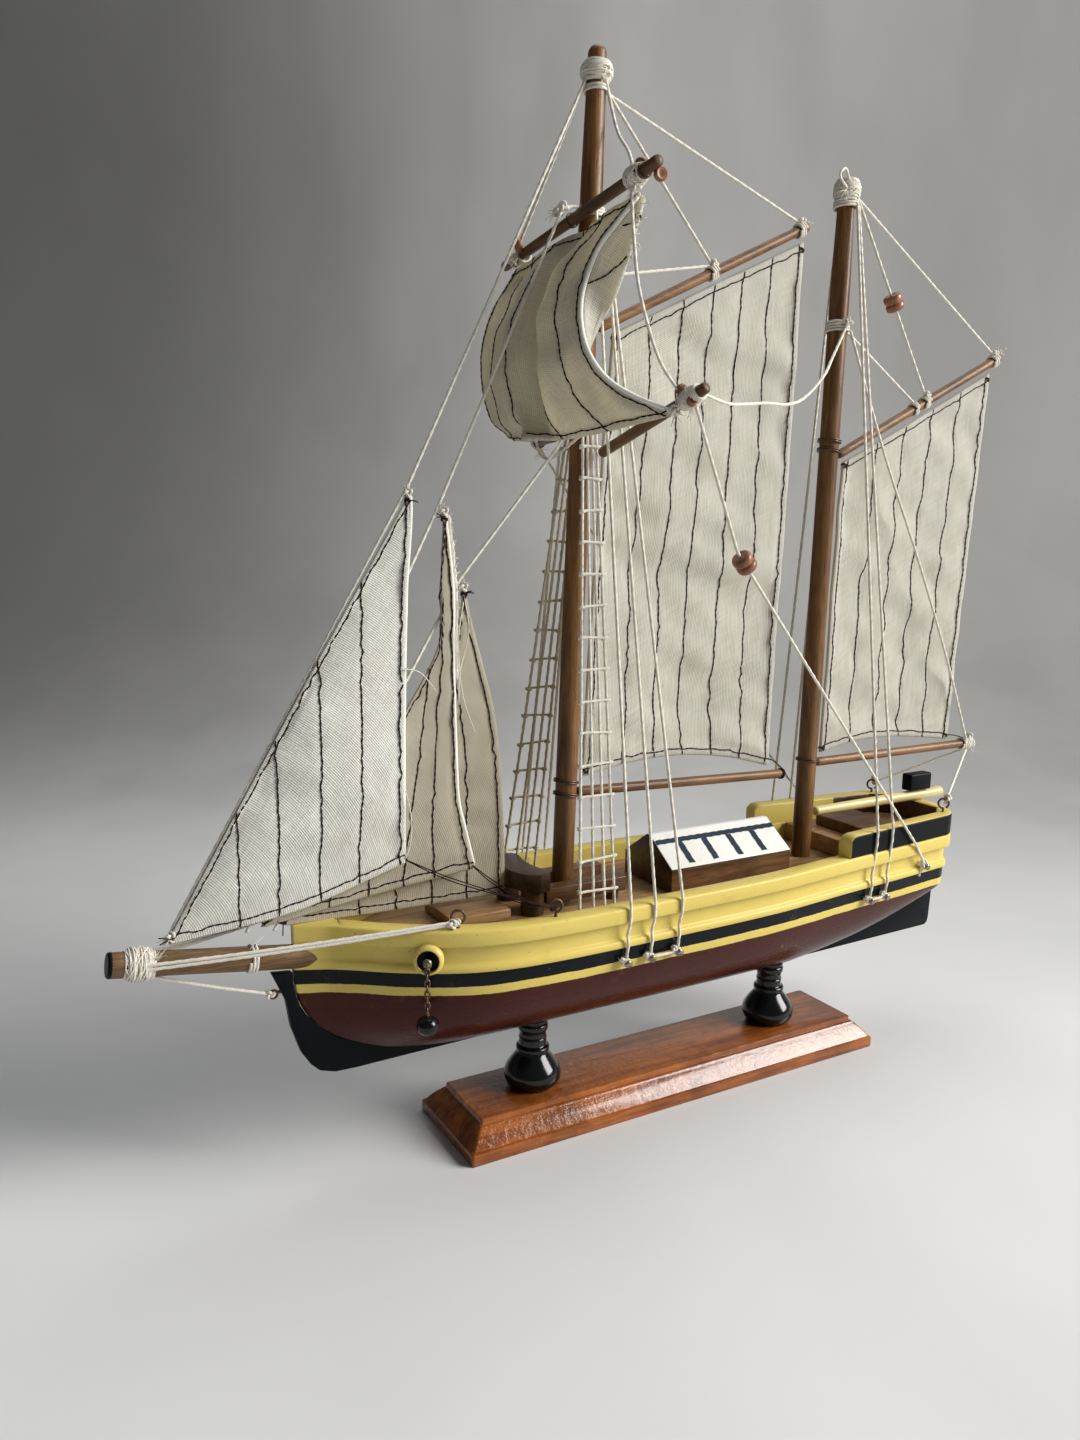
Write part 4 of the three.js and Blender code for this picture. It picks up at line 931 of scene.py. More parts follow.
def make_hawse(side):
    """Ring with a nail in its hole, and the chain and anchor that swing on the nail."""
    name = "port" if side < 0 else "starboard"
    joint = next(j for j in frame["joints"] if j["name"] == "anchor_swing_" + name)
    hang = np.array(joint["pos_m"]) / MM
    normal = unit(np.array(joint["axis"]) * (1, 1, 0))
    if normal[1] * side < 0:
        normal = -normal
    centre = hang - normal * 2.75
    b = Build()
    b.lathe([(0, -1.2), (4.0, -1.2), (4.1, 0.3), (3.95, 0.9), (3.55, 1.35), (3.15, 1.5)],
            centre, centre + normal, 48, 0, caps=False)
    b.lathe([(3.15, 1.5), (2.98, 1.48), (2.85, 1.3), (2.8, 0.9)], centre, centre + normal, 48, 1, caps=False)
    # The hole's floor is a shallow black dish: painted shade for the depth of the hole.
    b.lathe([(2.8, 0.9), (2.6, 0.2), (0, 0.1)], centre, centre + normal, 48, 2, caps=False)
    nail = [(0, 0.4), (0.35, 0.4), (0.35, 2.2), (1.15, 2.25), (1.25, 2.5), (1.1, 2.85), (0.6, 3.1),
            (0, 3.15)]
    b.lathe(nail, centre, centre + normal, 28, 3)
    b.piece("hawse_%s_finish" % name, [YELLOW, BRASS, BLACK, STEEL], "model", "ring", "hawse_" + name,
            sharp=60)

    low, high = box("anchor_chain_" + name)
    b = Build()
    links = 9
    pitch = (high[2] - low[2] - 1.4) / (links - 1)
    across = unit(np.cross(normal, (0, 0, 1)))
    loop_into(b, hang + (0, 0, -0.35) - normal * 0.2, normal, 0.95, 0.26)
    for i in range(links):
        centre_z = high[2] - 0.9 - i * pitch
        wide = across if i % 2 else normal
        t = np.linspace(0, 2 * math.pi, 20, endpoint=False)
        path = (np.array((hang[0], hang[1], centre_z)) + (np.cos(t) * 0.62)[:, None] * wide
                + (np.sin(t) * 1.02)[:, None] * np.array((0, 0, 1)))
        b.tube(path, 0.25, 7, closed=True)
    b.piece("anchor_chain_%s_finish" % name, [WIRE], "anchor_tackle_" + name, "wire", "anchor_chain_" + name)

    c = middle("anchor_" + name)
    low, high = box("anchor_" + name)
    r = (high[0] - low[0]) / 2
    profile = [(r * 1.02 * math.sin(a), r * 0.92 * (1 - math.cos(a))) for a in np.linspace(0, math.pi, 26)]
    b = Build()
    b.lathe(profile, c - (0, 0, r * 0.92), c, 40)
    loop_into(b, c + (0, 0, r * 0.92 + 0.35), across, 0.55, 0.2, 1)
    ball = enamel("anchor_gloss_" + name, (0.004, 0.004, 0.005), 0.16, 0.45, speck=0.1, shine=0.12)
    b.piece("anchor_%s_finish" % name, [ball, WIRE], "anchor_tackle_" + name, "anchor_black",
            "anchor_" + name)


for side in SIDE:
    make_hawse(side)


def make_eye(node, gap=0.12):
    """Screw eye bent from wire, with its cut end and shank; returns the middle of its ring."""
    p = node_points(node)
    low, high = p.min(0), p.max(0)
    if node == "eye_stem":
        up = unit((-1, 0, -0.25))
        face = np.array((0.0, 1.0, 0.0))
        foot = np.array((-125.3, 0, 55.6))
    else:
        ring = p[p[:, 2] > low[2] + 1.5]
        foot = np.array(((low[0] + high[0]) / 2, (low[1] + high[1]) / 2, low[2]))
        up = np.array((0.0, 0.0, 1.0))
        flat = ring[:, :2] - ring[:, :2].mean(0)
        _, _, axes = np.linalg.svd(flat)
        face = np.array((axes[1][0], axes[1][1], 0.0))
        if node == "eye_stern_starboard":
            face = np.array((-0.6, -0.8, 0.0))
    across = np.cross(face, up)
    r = 1.05 if node == "eye_stem" else 1.75
    centre = foot + up * (0.7 * r + r)
    t = np.linspace(-math.pi / 2 + 0.05, 1.5 * math.pi - gap * 4, 40)
    path = [foot - up * 1.2, foot + up * 0.2, foot + up * 0.8]
    path += [centre + r * (math.cos(a) * across + math.sin(a) * up) + face * 0.16 * (a / 6) for a in t]
    b = Build()
    b.tube(smooth_path(path, 3), 0.37, 9)
    b.tube([foot - up * 0.9, foot + up * 0.45], 0.5, 10)
    b.piece(node + "_finish", [WIRE], "model", "wire", node)
    return centre


EYE_NODES = ("eye_bow_port", "eye_bow_starboard", "eye_waist_port", "eye_stern_port", "eye_stern_starboard",
             "eye_stem")
EYES = {node: make_eye(node) for node in EYE_NODES}


def nail_into(b, at, normal):
    """A round-headed nail."""
    r = 1.15
    normal = unit(normal)
    at = np.asarray(at, float)
    b.lathe([(0, -1.6), (0.5, -1.6), (0.5, 0.35), (r * 0.9, 0.4), (r, 0.6), (r * 0.92, 0.85),
             (r * 0.55, 1.08),
             (0, 1.15)], at, at + normal, 22)


def outside(x, gap):
    """The port side's y at x, a gap outside the hull."""
    return -(breadth(x) + gap)

# ---------------------------------------------------------------- spars


def make_mast(name, foot, head):
    """A dowel that thins a little towards its rounded head."""
    length = np.linalg.norm(head - foot)
    r = MAST_R
    profile = [(0, 0), (r, 0.0)] + [(r - 0.12 * t, length * 0.86 * t) for t in np.linspace(0.02, 1, 14)]
    profile += [(r - 0.12 - 0.55 * t, length * 0.86 + (length * 0.14 - 2.0) * t)
                for t in np.linspace(0.1, 1, 8)]
    profile += [(r - 0.85, length - 1.4), (r - 1.3, length - 0.7), (r - 2.1, length - 0.15), (0, length)]
    b = Build()
    b.lathe(profile, foot, head, 48)
    b.piece(name + "_finish", [MAST], "model", "spar_wood", name, sharp=45)


make_mast("foremast", FORE_FOOT, FORE_HEAD)
make_mast("mizzen_mast", MIZZEN_FOOT, MIZZEN_HEAD)


def make_spar(name, body, mat, ends=0.5):
    """A thin dowel with eased ends and a faint unevenness."""
    a, c = stick_axis(name)
    r = radius_of(name)
    length = np.linalg.norm(c - a)
    profile = [(0, 0), (r - ends, 0.05), (r - 0.15, 0.3), (r, 0.9)]
    profile += [(r * (1 + 0.015 * math.sin(9 * t + len(name))), length * t)
                for t in np.linspace(0.06, 0.94, 18)]
    profile += [(r, length - 0.9), (r - 0.15, length - 0.3), (r - ends, length - 0.05), (0, length)]
    b = Build()
    b.lathe(profile, a, c, 32)
    return b.piece(name + "_finish", [mat], body, "spar_wood", name, sharp=50)


SPARS = {
    "bowsprit": ("model", SPRIT), "main_gaff": ("main_sail_set", SPAR_X),
    "main_boom": ("main_sail_set", SPAR_X), "mizzen_gaff": ("model", SPAR_X),
    "mizzen_boom": ("model", SPAR_X),
    "upper_yard": ("model", SPAR_Y), "lower_yard_port": ("model", SPAR_Y),
    "lower_yard_starboard": ("model", SPAR_Y),
}
for name, (body, mat) in SPARS.items():
    make_spar(name, body, mat)

# ---------------------------------------------------------------- sails


def smooth_between(p, t):
    """Point on the Catmull-Rom curve through rows of points, t from 0 to 1."""
    p = np.asarray(p, float)
    n = len(p) - 1
    ext = np.vstack((2 * p[0] - p[1], p, 2 * p[-1] - p[-2]))
    i = min(n - 1, int(t * n))
    u = t * n - i
    a, b, c, d = ext[i:i + 4]
    return 0.5 * (2 * b + (c - a) * u + (2 * a - 5 * b + 4 * c - d) * u * u + (3 * b - a - 3 * c + d) * u**3)


def ripple(p, seed, size, amount):
    """Smooth random height field over points."""
    rng = np.random.default_rng(seed)
    out = np.zeros(len(p))
    for _ in range(14):
        k = rng.normal(0, 1, 3)
        k *= 2 * math.pi / (size * rng.uniform(0.7, 1.8) * np.linalg.norm(k))
        out += np.sin(p @ k + rng.uniform(0, 6.28))
    return out * amount / math.sqrt(7)


class Sail:
    """Cloth surface(a, b) with a, b from 0 to 1, its hems and seams."""

    def __init__(self, name, surface, body, nu, nv, seams, hems, wrinkle=0.45, seed=1, hem=1.9, mat=None):
        self.name, self.surface, self.body, self.mat = name, surface, body, mat or CANVAS
        self.nu, self.nv, self.seed = nu, nv, seed
        grid = np.array([[surface(i / nu, j / nv) for j in range(nv + 1)] for i in range(nu + 1)])
        du = np.gradient(grid, axis=0)
        dv = np.gradient(grid, axis=1)
        normal = np.cross(du, dv)
        normal /= np.maximum(np.linalg.norm(normal, axis=2, keepdims=True), 1e-9)
        self.flat_u = np.concatenate((np.zeros((1, nv + 1)), np.cumsum(
            np.linalg.norm(np.diff(grid, axis=0), axis=2), 0)))
        self.flat_v = np.concatenate((np.zeros((nu + 1, 1)), np.cumsum(
            np.linalg.norm(np.diff(grid, axis=1), axis=2), 1)), 1)
        edge_u = np.minimum(self.flat_u, self.flat_u[-1:] - self.flat_u)
        edge_v = np.minimum(self.flat_v, self.flat_v[:, -1:] - self.flat_v)
        self.edge = np.minimum(edge_u, edge_v)
        points = grid.reshape(-1, 3)

        def rippled(offset, size, amount, stretch=1.0):
            return ripple(points * stretch, seed + offset, size, amount).reshape(nu + 1, nv + 1)
        bumps = rippled(0, 34, wrinkle)
        bumps += rippled(50, 13, wrinkle * 0.28)
        bumps += rippled(70, 9, wrinkle * 0.62, (0.35, 1, 1))
        for a in seams:
            at = np.abs(self.flat_u - self.flat_u[int(round(a * nu))][None, :])
            pucker = rippled(90, 5.5, 0.10)
            bumps += np.exp(-(at / 2.2)**2) * pucker + np.exp(-(at / 1.0)**2) * 0.12
        calm = np.clip(self.edge / 5.0, 0.25, 1)
        grid = grid + normal * (bumps * calm)[..., None]
        self.grid, self.normal = grid, normal
        self.half = 0.20 + 0.36 * (1 - np.clip((self.edge - hem * 0.9) / 0.5, 0, 1))
        self.seams, self.hems, self.hem = seams, hems, hem

    def at(self, a, b, out=0.0):
        i, j = np.clip(a, 0, 1) * self.nu, np.clip(b, 0, 1) * self.nv
        i0, j0 = min(self.nu - 1, int(i)), min(self.nv - 1, int(j))
        u, v = i - i0, j - j0

        def mix(g):
            return (g[i0, j0] * (1 - u) * (1 - v) + g[i0 + 1, j0] * u * (1 - v)
                    + g[i0, j0 + 1] * (1 - u) * v + g[i0 + 1, j0 + 1] * u * v)
        return mix(self.grid) + mix(self.normal) * out * (mix(self.half) + 0.1)

    def cloth(self, *replaced):
        b = Build()
        nu, nv = self.nu, self.nv
        count = (nu + 1) * (nv + 1)
        front = self.grid + self.normal * self.half[..., None]
        back = self.grid - self.normal * self.half[..., None]
        verts = np.concatenate((front.reshape(-1, 3), back.reshape(-1, 3)))
        uv = np.stack((self.flat_u, self.flat_v), 2).reshape(-1, 2) * MM
        idx = lambda i, j, k=0: i * (nv + 1) + j + k * count
        faces = []
        for i in range(nu):
            for j in range(nv):
                faces.append((idx(i, j), idx(i + 1, j), idx(i + 1, j + 1), idx(i, j + 1)))
                faces.append((idx(i, j, 1), idx(i, j + 1, 1), idx(i + 1, j + 1, 1), idx(i + 1, j, 1)))
        rim = [(i, 0) for i in range(nu)] + [(nu, j) for j in range(nv)]
        rim += [(i, nv) for i in range(nu, 0, -1)] + [(0, j) for j in range(nv, 0, -1)]
        centre = self.grid[nu // 2, nv // 2]
        mids, rim_uv = [], []
        for k, (i, j) in enumerate(rim):
            p = self.grid[i, j]
            q = self.grid[min(nu - 1, max(1, i)), min(nv - 1, max(1, j))]
            away = p - q
            away = unit(away) if np.linalg.norm(away) > 1e-6 else unit(p - centre)
            mids.append(p + away * self.half[i, j] * 0.8)
            rim_uv.append(uv[idx(i, j)])
        start = len(verts)
        verts = np.concatenate((verts, np.array(mids)))
        uvs = np.concatenate((uv, uv, np.array(rim_uv)))
        m = len(rim)
        for k in range(m):
            a, c = rim[k], rim[(k + 1) % m]
            faces.append((idx(*c), idx(*a), start + k, start + (k + 1) % m))
            faces.append((start + (k + 1) % m, start + k, idx(*a, 1), idx(*c, 1)))
        b.add(verts, faces, 0, uvs)
        return b.piece(self.name + "_cloth", [self.mat], self.body, "canvas", *replaced)

    def stitches(self, lines, wander=0.19):
        """Dark running stitches on both faces along lines of (a, b) points."""
        b = Build()
        rng = np.random.default_rng(self.seed)
        for line in lines:
            for out in (1.0, -1.0):
                pts = np.array([self.at(p[0], p[1], out) for p in line])
                path = resample(pts, 0.5)
                n = len(path)
                if n < 6:
                    continue
                drift = np.interp(np.arange(n), np.arange(0, n + 4, 4),
                                  rng.normal(0, wander, len(np.arange(0, n + 4, 4))))
                along = np.gradient(path, axis=0)
                along /= np.maximum(np.linalg.norm(along, axis=1, keepdims=True), 1e-9)
                normal = np.array([self.normal_near(line, k / n) for k in range(n)])
                across = np.cross(along, normal)
                path = path + across * drift[:, None]
                phase = np.arange(n) * 0.5 / 1.9 * math.pi
                r = 0.13 + 0.12 * np.abs(np.sin(phase))
                path = path - normal * out * (0.10 * (1 - np.abs(np.sin(phase))))[:, None]
                b.tube(path, r, 6)
        return b

    def normal_near(self, line, f):
        a, c = line[min(len(line) - 1, int(f * len(line)))]
        i, j = int(round(np.clip(a, 0, 1) * self.nu)), int(round(np.clip(c, 0, 1) * self.nv))
        return self.normal[i, j]

    def lines(self):
        """Seams down the cloth and one line inside each hem."""
        out = []
        for a in self.seams:
            out.append([(a, t) for t in np.linspace(0.0, 1.0, 60)])
        width = float(self.flat_u[-1].mean())
        height = float(self.flat_v[:, -1].max())
        for h in self.hems:
            if h == "left":
                out.append([(self.hem / width, t) for t in np.linspace(0, 1, 60)])
            if h == "right":
                out.append([(1 - self.hem / width, t) for t in np.linspace(0, 1, 60)])
            if h in ("top", "bottom"):
                line = []
                for t in np.linspace(0, 1, 60):
                    tall = max(float(self.flat_v[int(round(t * self.nu)), -1]), 0.01)
                    inset = min(0.5, self.hem / tall)
                    line.append((t, inset if h == "top" else 1 - inset))
                out.append(line)
        return out

    def area(self):
        g = self.grid
        d1, d2 = g[1:, 1:] - g[:-1, :-1], g[1:, :-1] - g[:-1, 1:]
        return float(np.linalg.norm(np.cross(d1, d2), axis=2).sum() / 2)


def patch(net):
    """Surface through a net of points: rows from head to foot, points from luff to leech."""
    net = [np.array(row, float) for row in net]

    def surface(a, b):
        return smooth_between(np.array([smooth_between(row, a) for row in net]), b)
    return surface


def curve(points):
    """Catmull-Rom curve through points, by the share of its length."""
    path = smooth_path(np.array(points, float), 24)
    s = np.concatenate(([0], np.cumsum(np.linalg.norm(np.diff(path, axis=0), axis=1))))
    s /= s[-1]
    return lambda t: np.array([np.interp(t, s, path[:, k]) for k in range(3)])


def jib(luff, leech, foot, belly):
    """Three-cornered sail: a runs from tack to leech, b from luff down to foot."""
    luff, leech, foot = curve(luff), curve(leech), curve(foot)
    head, clew = leech(0), leech(1)

    def surface(a, b):
        a = 0.012 + 0.988 * a
        top, low = luff(a), foot(a)
        p = top + (low - top) * b
        p += (leech(b) - head - (clew - head) * b) * a**4
        p[1] += (low[1] - top[1]) * (1 - (1 - b)**2.4 - b) * (1 - a**4)
        p[1] -= belly * math.sin(math.pi * b) * math.sin(math.pi * min(a, 0.97))**0.7
        return p
    return surface


def folded(a, b):
    """The topsail's cloth with its long valley, its ridge and the pinched pleat at its foot."""
    p = TOPSAIL(a, b)
    centre = 0.60 - 0.10 * b
    valley = 9.0 * math.exp(-abs(a - centre) / 0.07) * math.sin(math.pi * min(1, b * 0.9 + 0.1))
    ridge = 4.6 * math.exp(-((a - centre - 0.14) / 0.08)**2) * math.sin(math.pi * b)
    ridge += 3.4 * math.exp(-((a - centre + 0.17) / 0.07)**2) * math.sin(math.pi * b)
    pleat = 7.0 * math.exp(-((a - 0.47 + 0.16 * (1 - b)) / 0.035)**2) * max(0.0, (b - 0.72) / 0.28)
    hang = max(0.0, (b - 0.7) / 0.3) * max(0.0, 1 - a / 0.42)
    p[0] += valley - ridge - pleat
    p[2] -= 1.6 * hang
    return p


MAIN = patch([
    [(-25.0, 0, 231.0), (-8, -0.2, 239.2), (10, -0.2, 248.2), (27, -0.1, 256.2), (44.0, 0, 264.4)],
    [(-27.6, 0, 198), (-9, 0.6, 204), (8, 0.8, 210), (26, 0.6, 216), (43.6, 0.2, 222)],
    [(-29.6, 0, 165), (-12, 0.9, 168), (5, 1.4, 171), (24, 1.0, 175.5), (42.2, 0.5, 180)],
    [(-31.4, 0, 134), (-13, 0.8, 136), (4, 1.0, 138), (23, 0.8, 139), (40.8, 0.3, 140)],
    [(-33.0, 0, 104.6), (-14, 0.2, 107.4), (4, 0.1, 107.8), (22, 0.1, 105.6), (39.2, 0, 101.2)],
])
MIZZEN_SAIL = patch([
    [(66.2, 0, 199.4), (83, 0, 207.4), (100, 0, 215.6), (117, 0, 224.2), (133.4, 0, 232.6)],
    [(65.2, 0, 175), (82, 0.5, 180.5), (98, 0.8, 186), (115, 0.5, 192), (131.8, 0.3, 198)],
    [(64.4, 0, 150), (80, 0.9, 153), (96, 1.3, 156), (113, 0.9, 160), (129.6, 0.4, 164)],
    [(63.6, 0, 126), (79, 0.6, 128), (95, 0.8, 130), (111, 0.6, 131.5), (127.4, 0.2, 132)],
    [(62.8, 0, 103.4), (78, 0.2, 105.8), (94, 0.1, 106.2), (110, 0.1, 104.8), (125.4, 0, 102.8)],
])
TOPSAIL = patch([
    [(-36.6, 36, 253.6), (-37.8, 20, 254.6), (-38.8, 2, 255.6), (-39.6, -16, 256.4), (-40.6, -34, 257.6)],
    [(-44.6, 36.6, 240), (-46.4, 20, 241.6), (-46.6, 3, 243), (-46.8, -12, 243.6), (-45.6, -22, 244.4)],
    [(-48.0, 36, 225), (-51.6, 20, 226), (-52.4, 2, 227), (-51.2, -13, 228), (-48.4, -21, 228.4)],
    [(-45.4, 35.5, 211), (-50.0, 20, 209.6), (-50.4, 2, 210), (-47.4, -14, 212), (-42.8, -25, 215)],
    [(-39.4, 34.4, 206.8), (-45.2, 18, 202.8), (-44.8, 0, 201.2), (-39.6, -18, 202.4),
     (-29.4, -36.6, 206.0)],
])
SAILS = [
    Sail("mainsail", MAIN, "main_sail_set", 78, 150, (0.19, 0.35, 0.5, 0.66, 0.82),
         ("left", "right", "top", "bottom"),
         0.62, 3),
    Sail("mizzen_sail", MIZZEN_SAIL, "model", 72, 120, (0.22, 0.41, 0.6, 0.79),
         ("left", "right", "top", "bottom"),
         0.58, 5),
    Sail("topsail", folded, "model", 108, 84, (0.22, 0.40, 0.58, 0.78), ("left", "right", "top", "bottom"),
         0.5, 8,
         mat=TOPSAIL_CANVAS),
    Sail("outer_jib", jib([(-153.2, -0.6, 74.2), (-120.5, -0.6, 130.2), (-87.2, -0.6, 185.6)],
                          [(-87.2, -0.6, 185.6), (-87.6, -1.2, 178), (-89.3, -1.6, 157.8),
                           (-90.6, -2.6, 128.7),
                           (-91.4, -3.7, 104.6), (-91.7, -4.8, 87.6)],
                          [(-153.2, -0.6, 74.2), (-121, -4.2, 79.0), (-91.7, -4.8, 87.6)], 1.0),
         "model", 66, 96, (0.27, 0.43, 0.61, 0.79), ("right", "top", "bottom"), 0.34, 11, mat=JIB_CANVAS),
    Sail("inner_jib", jib([(-130.4, -0.8, 74.6), (-109.9, -1.0, 99.5), (-90.0, -1.3, 127.6),
                           (-79.4, -1.4, 146.7),
                           (-78.8, -1.0, 164.3), (-77.6, -0.8, 181.2)],
                          [(-77.6, -0.8, 181.2), (-75.4, -1.0, 160.3), (-75.6, -1.5, 144.3),
                           (-75.4, -2.2, 123.8),
                           (-75.0, -3.0, 104), (-73.2, -3.8, 94.3), (-70.6, -4.4, 83.0)],
                          [(-130.4, -0.8, 74.6), (-99, -2.4, 79.2), (-70.6, -4.4, 83.0)], 0.1),
         "model", 66, 96, (0.3, 0.48, 0.65, 0.80), ("right", "top", "bottom"), 0.24, 13, mat=SHADED_TAN_CANVAS),
    Sail("staysail", jib([(-124.6, 0.2, 73.9), (-107.0, 0.4, 96), (-88.0, 0.4, 119), (-76.2, 0.3, 138.4),
                          (-73.2, 0.0, 151), (-71.6, -0.3, 161)],
                         [(-71.6, -0.3, 161), (-69.2, -0.3, 150.4), (-66.4, -0.4, 140.3),
                          (-62.8, -0.6, 126.6),
                          (-60.7, -0.9, 109.4), (-59.8, -1.1, 91.9), (-59.6, -1.3, 72.9)],
                         [(-124.6, 0.2, 73.9), (-98, 0.3, 73.0), (-59.6, -1.3, 72.9)], 0.0),
         "model", 66, 84, (0.33, 0.49, 0.655, 0.82), ("right", "top", "bottom"), 0.24, 17, mat=SHADED_TAN_CANVAS),
]
BY_NAME = {s.name: s for s in SAILS}
ROLLED = ("outer_jib", "inner_jib", "topsail")
# the cloth turned back behind the topsail's port leech
FLAP_EDGE = curve([(-39.4, -33.4, 256.2), (-39.4, -29.1, 245.5), (-39.4, -22.7, 236.0),
                   (-40.2, -16.7, 229.5),
                   (-42.4, -13.4, 222.0)])


def flap(a, b):
    """The turned-back cloth, from the topsail's leech to its own edge."""
    front = BY_NAME["topsail"].at(0.985, b * 0.56)
    front = front + np.array((1.3, 0.3, 0.0))
    p = front + (FLAP_EDGE(b) - front) * a
    p[0] += 1.2 * math.sin(math.pi * a) - 0.35 * math.sin(14 * b + 3 * a) * a * (1 - a) * 4
    return p


def make_flap():
    """The flap's cloth and its stitching."""
    cloth = Sail("topsail_flap", flap, "model", 26, 52, (), (), 0.16, 23)
    seams = cloth.stitches([[(t, 0.62 - 0.30 * t) for t in np.linspace(0, 1, 20)],
                            [(t, 0.20 - 0.12 * t) for t in np.linspace(0.1, 1, 20)]])
    return [cloth.cloth(), seams.piece("topsail_flap_stitching", [THREAD], "model", "canvas")]


def hem_roll(sail):
    """The rolled hem down a leech, standing proud of the cloth."""
    b = Build()
    b.tube(resample([sail.at(1.0, t) for t in np.linspace(0.01, 0.99, 60)], 0.8), 0.62, 10)
    return b.piece(sail.name + "_hem_roll", [HEM], sail.body, "canvas")


for sail in SAILS:
    cloth = sail.cloth(sail.name)
    thread = sail.stitches(sail.lines()).piece(sail.name + "_stitching", [THREAD], sail.body, "canvas")
    corners = 3 if "jib" in sail.name or sail.name == "staysail" else 4
    area = sail.area() * MM * MM
    ([thread] + ([hem_roll(sail)] if sail.name in ROLLED else [])
             + (make_flap() if sail.name == "topsail" else []))

# ---------------------------------------------------------------- rigging


def make_ratlines(side):
    """Four shrouds crossed by fifteen rungs."""
    name = "port" if side < 0 else "starboard"
    cords = Build()
    feet = (-47.2, -42.6, -38.8, -35.4)
    runs = []
    for i, x in enumerate(feet):
        top = fore(203.4, side * 4.4, (i - 1.5) * 1.45)
        runs.append((top, np.array((x, side * 23.6, DECK_Z + 0.6))))
        cord_into(cords, runs[-1], 0.47, 0.7)
        cord_into(cords, [runs[-1][0], fore(205.2, side * 2.2, (i - 1.5) * 1.0)], 0.47, 0.7)
    for k in range(15):
        t = 0.03 + 0.905 * k / 14
        tilt = 0.0012 * math.sin(k * 2.3)
        pts = [a + (c - a) * (t + tilt * (i - 1.5)) for i, (a, c) in enumerate(runs)]
        out = np.array((0, side * 0.55, 0.2))
        path = [pts[0] + (-0.9, 0, 0) + out] + [p + out for p in pts] + [pts[-1] + (0.9, 0, 0) + out]
        cord_into(cords, path, 0.42, 0.7)
        for p in (pts[0], pts[-1]):
            d = unit(runs[0][1] - runs[0][0])
            wraps_into(cords, p, d, 0.35, 1.6, 0.33, 0.6)
    wraps_into(cords, fore(204.4), FORE_AXIS, MAST_R - 0.1, 2.2 if side < 0 else 1.2, 0.45)
    # Starboard cords take the darker tan copy: painted shade.
    cords.piece("ratlines_%s_cord" % name, [CORD if side < 0 else SHADED_TAN_CORD], "model", "cord",
                "ratlines_" + name)


for side in SIDE:
    make_ratlines(side)

MAIN_NAILS, MIZZEN_NAILS = (-35.3, -27.0, -17.4), (65.8, 73.6)
NAIL_Z = 57.0
BRACE_NAIL_X, BRACE_NAIL_Z = 94.4, 63.9


def over_rail(start, x, side, rail_z):
    """From aloft over the rail's edge, down the hull's side to its nail."""
    lip = -side * outside(x, 0.55)
    return [start, (x, lip, rail_z), (x, -side * outside(x, 0.5), rail_z - 4.0),
            (x, -side * outside(x, -0.9), 65.0), (x, -side * outside(x, -0.4), 62.6),
            (x, -side * outside(x, -1.1), NAIL_Z + 1.2)]


def fan_into(b, nails_b, start_at, turns, xs, rail_z):
    """Shrouds from a masthead down to nails on both sides."""
    for side in SIDE:
        feet = []
        for x, turn in zip(xs, turns):
            a = math.radians(turn)
            r = MAST_R + 0.75
            start = start_at(r * math.cos(a), side * r * math.sin(a))
            path = over_rail(start, x, side, rail_z)
            cord_into(b, path, CORD_R, 0.7)
            at = np.array((x, -side * outside(x, -2.3), NAIL_Z))
            feet.append(at)
            normal = np.array((0, side, 0))
            nail_into(nails_b, at + normal * 1.9, normal)
            wraps_into(b, at + normal * 1.2, normal, 0.55, 1.5, 0.42, 0.6)
            knot_into(b, at + normal * 1.0 + (-1.1, 0, 0.8), 1.0, seed=int(abs(x)))
        a, c = feet[-2], feet[-1]
        cord_into(b, [a + (0, side * 1.3, 0), c + (0, side * 1.3, 0)], CORD_R * 0.9, 0.7)
        fray_into(b, feet[0] + (-1.2, side * 1.6, 0.6), (-1, 0, 0.2), 8, 1.8, seed=3)


nails = Build()
stays = Build()
wraps_into(stays, fore(262.0), FORE_AXIS, MAST_R - 0.05, 3.3)
fan_into(stays, nails, lambda dx, y: fore(262, y, dx), (100, 44, 22), MAIN_NAILS, RAIL_Z)
cord_into(stays, [fore(263.2, 0, -3.9), (-41.8, 0, 262.2), (-78.6, 0, 183.2), (-133.6, 0, 73.4)])
knot_into(stays, (-41.6, 0, 262.3), 1.5, seed=2)
wraps_into(stays, SPRIT_TIP + (SPRIT_HEEL - SPRIT_TIP) * 0.62, SPRIT_HEEL - SPRIT_TIP, MAST_R - 0.2, 2.2)
fray_into(stays, (-131.6, -1.0, 70.6), (0.3, -0.4, -1), 10, 3.2, seed=5)
stays.piece("topmast_stays_cord", [CORD], "model", "cord", "topmast_stays")

aloft = Build()
yarn_into(aloft, fore(297.6), FORE_AXIS, MAST_R - 0.6, 5.0, 80, 1.7, 0.3, seed=7, r=0.19)
cord_into(aloft, [fore(296, 0, -3.0), (-88.0, 0, 186.6), (-154.0, 0, 73.9)])
cord_into(aloft, [fore(296, 2.2, -2.0), (-39.2, 30, 258.9)])
wraps_into(aloft, (-36.9, 31.5, 256.8), (0.04, 1, -0.08), 1.5, 3)
lift = [fore(296.4, -2.6, 1.0), fore(283, -4.4, 4.4), (-34.5, -20, 272), (-40.0, -31, 263.4)]
free_cord("port_lift", lift, 12)
free_cord("yard_link", [(-41.4, -32.4, 260.4), (-41.6, -32.8, 255.5), (-41.4, -33.5, 248.0),
                        (-40.2, -35.0, 234.5), (-35.1, -36.5, 219.3), (-29.4, -38.4, 210.8)])
wraps_into(aloft, (-40.3, -31, 261.7), (0.04, 1, -0.08), 1.5, 3)
knot_into(aloft, fore(297, -3.4, 1.0), 1.6, seed=9)
fray_into(aloft, fore(295.4, -3.8, -0.6), (-0.1, -0.5, -1), 7, 4, seed=12, spread=0.2)
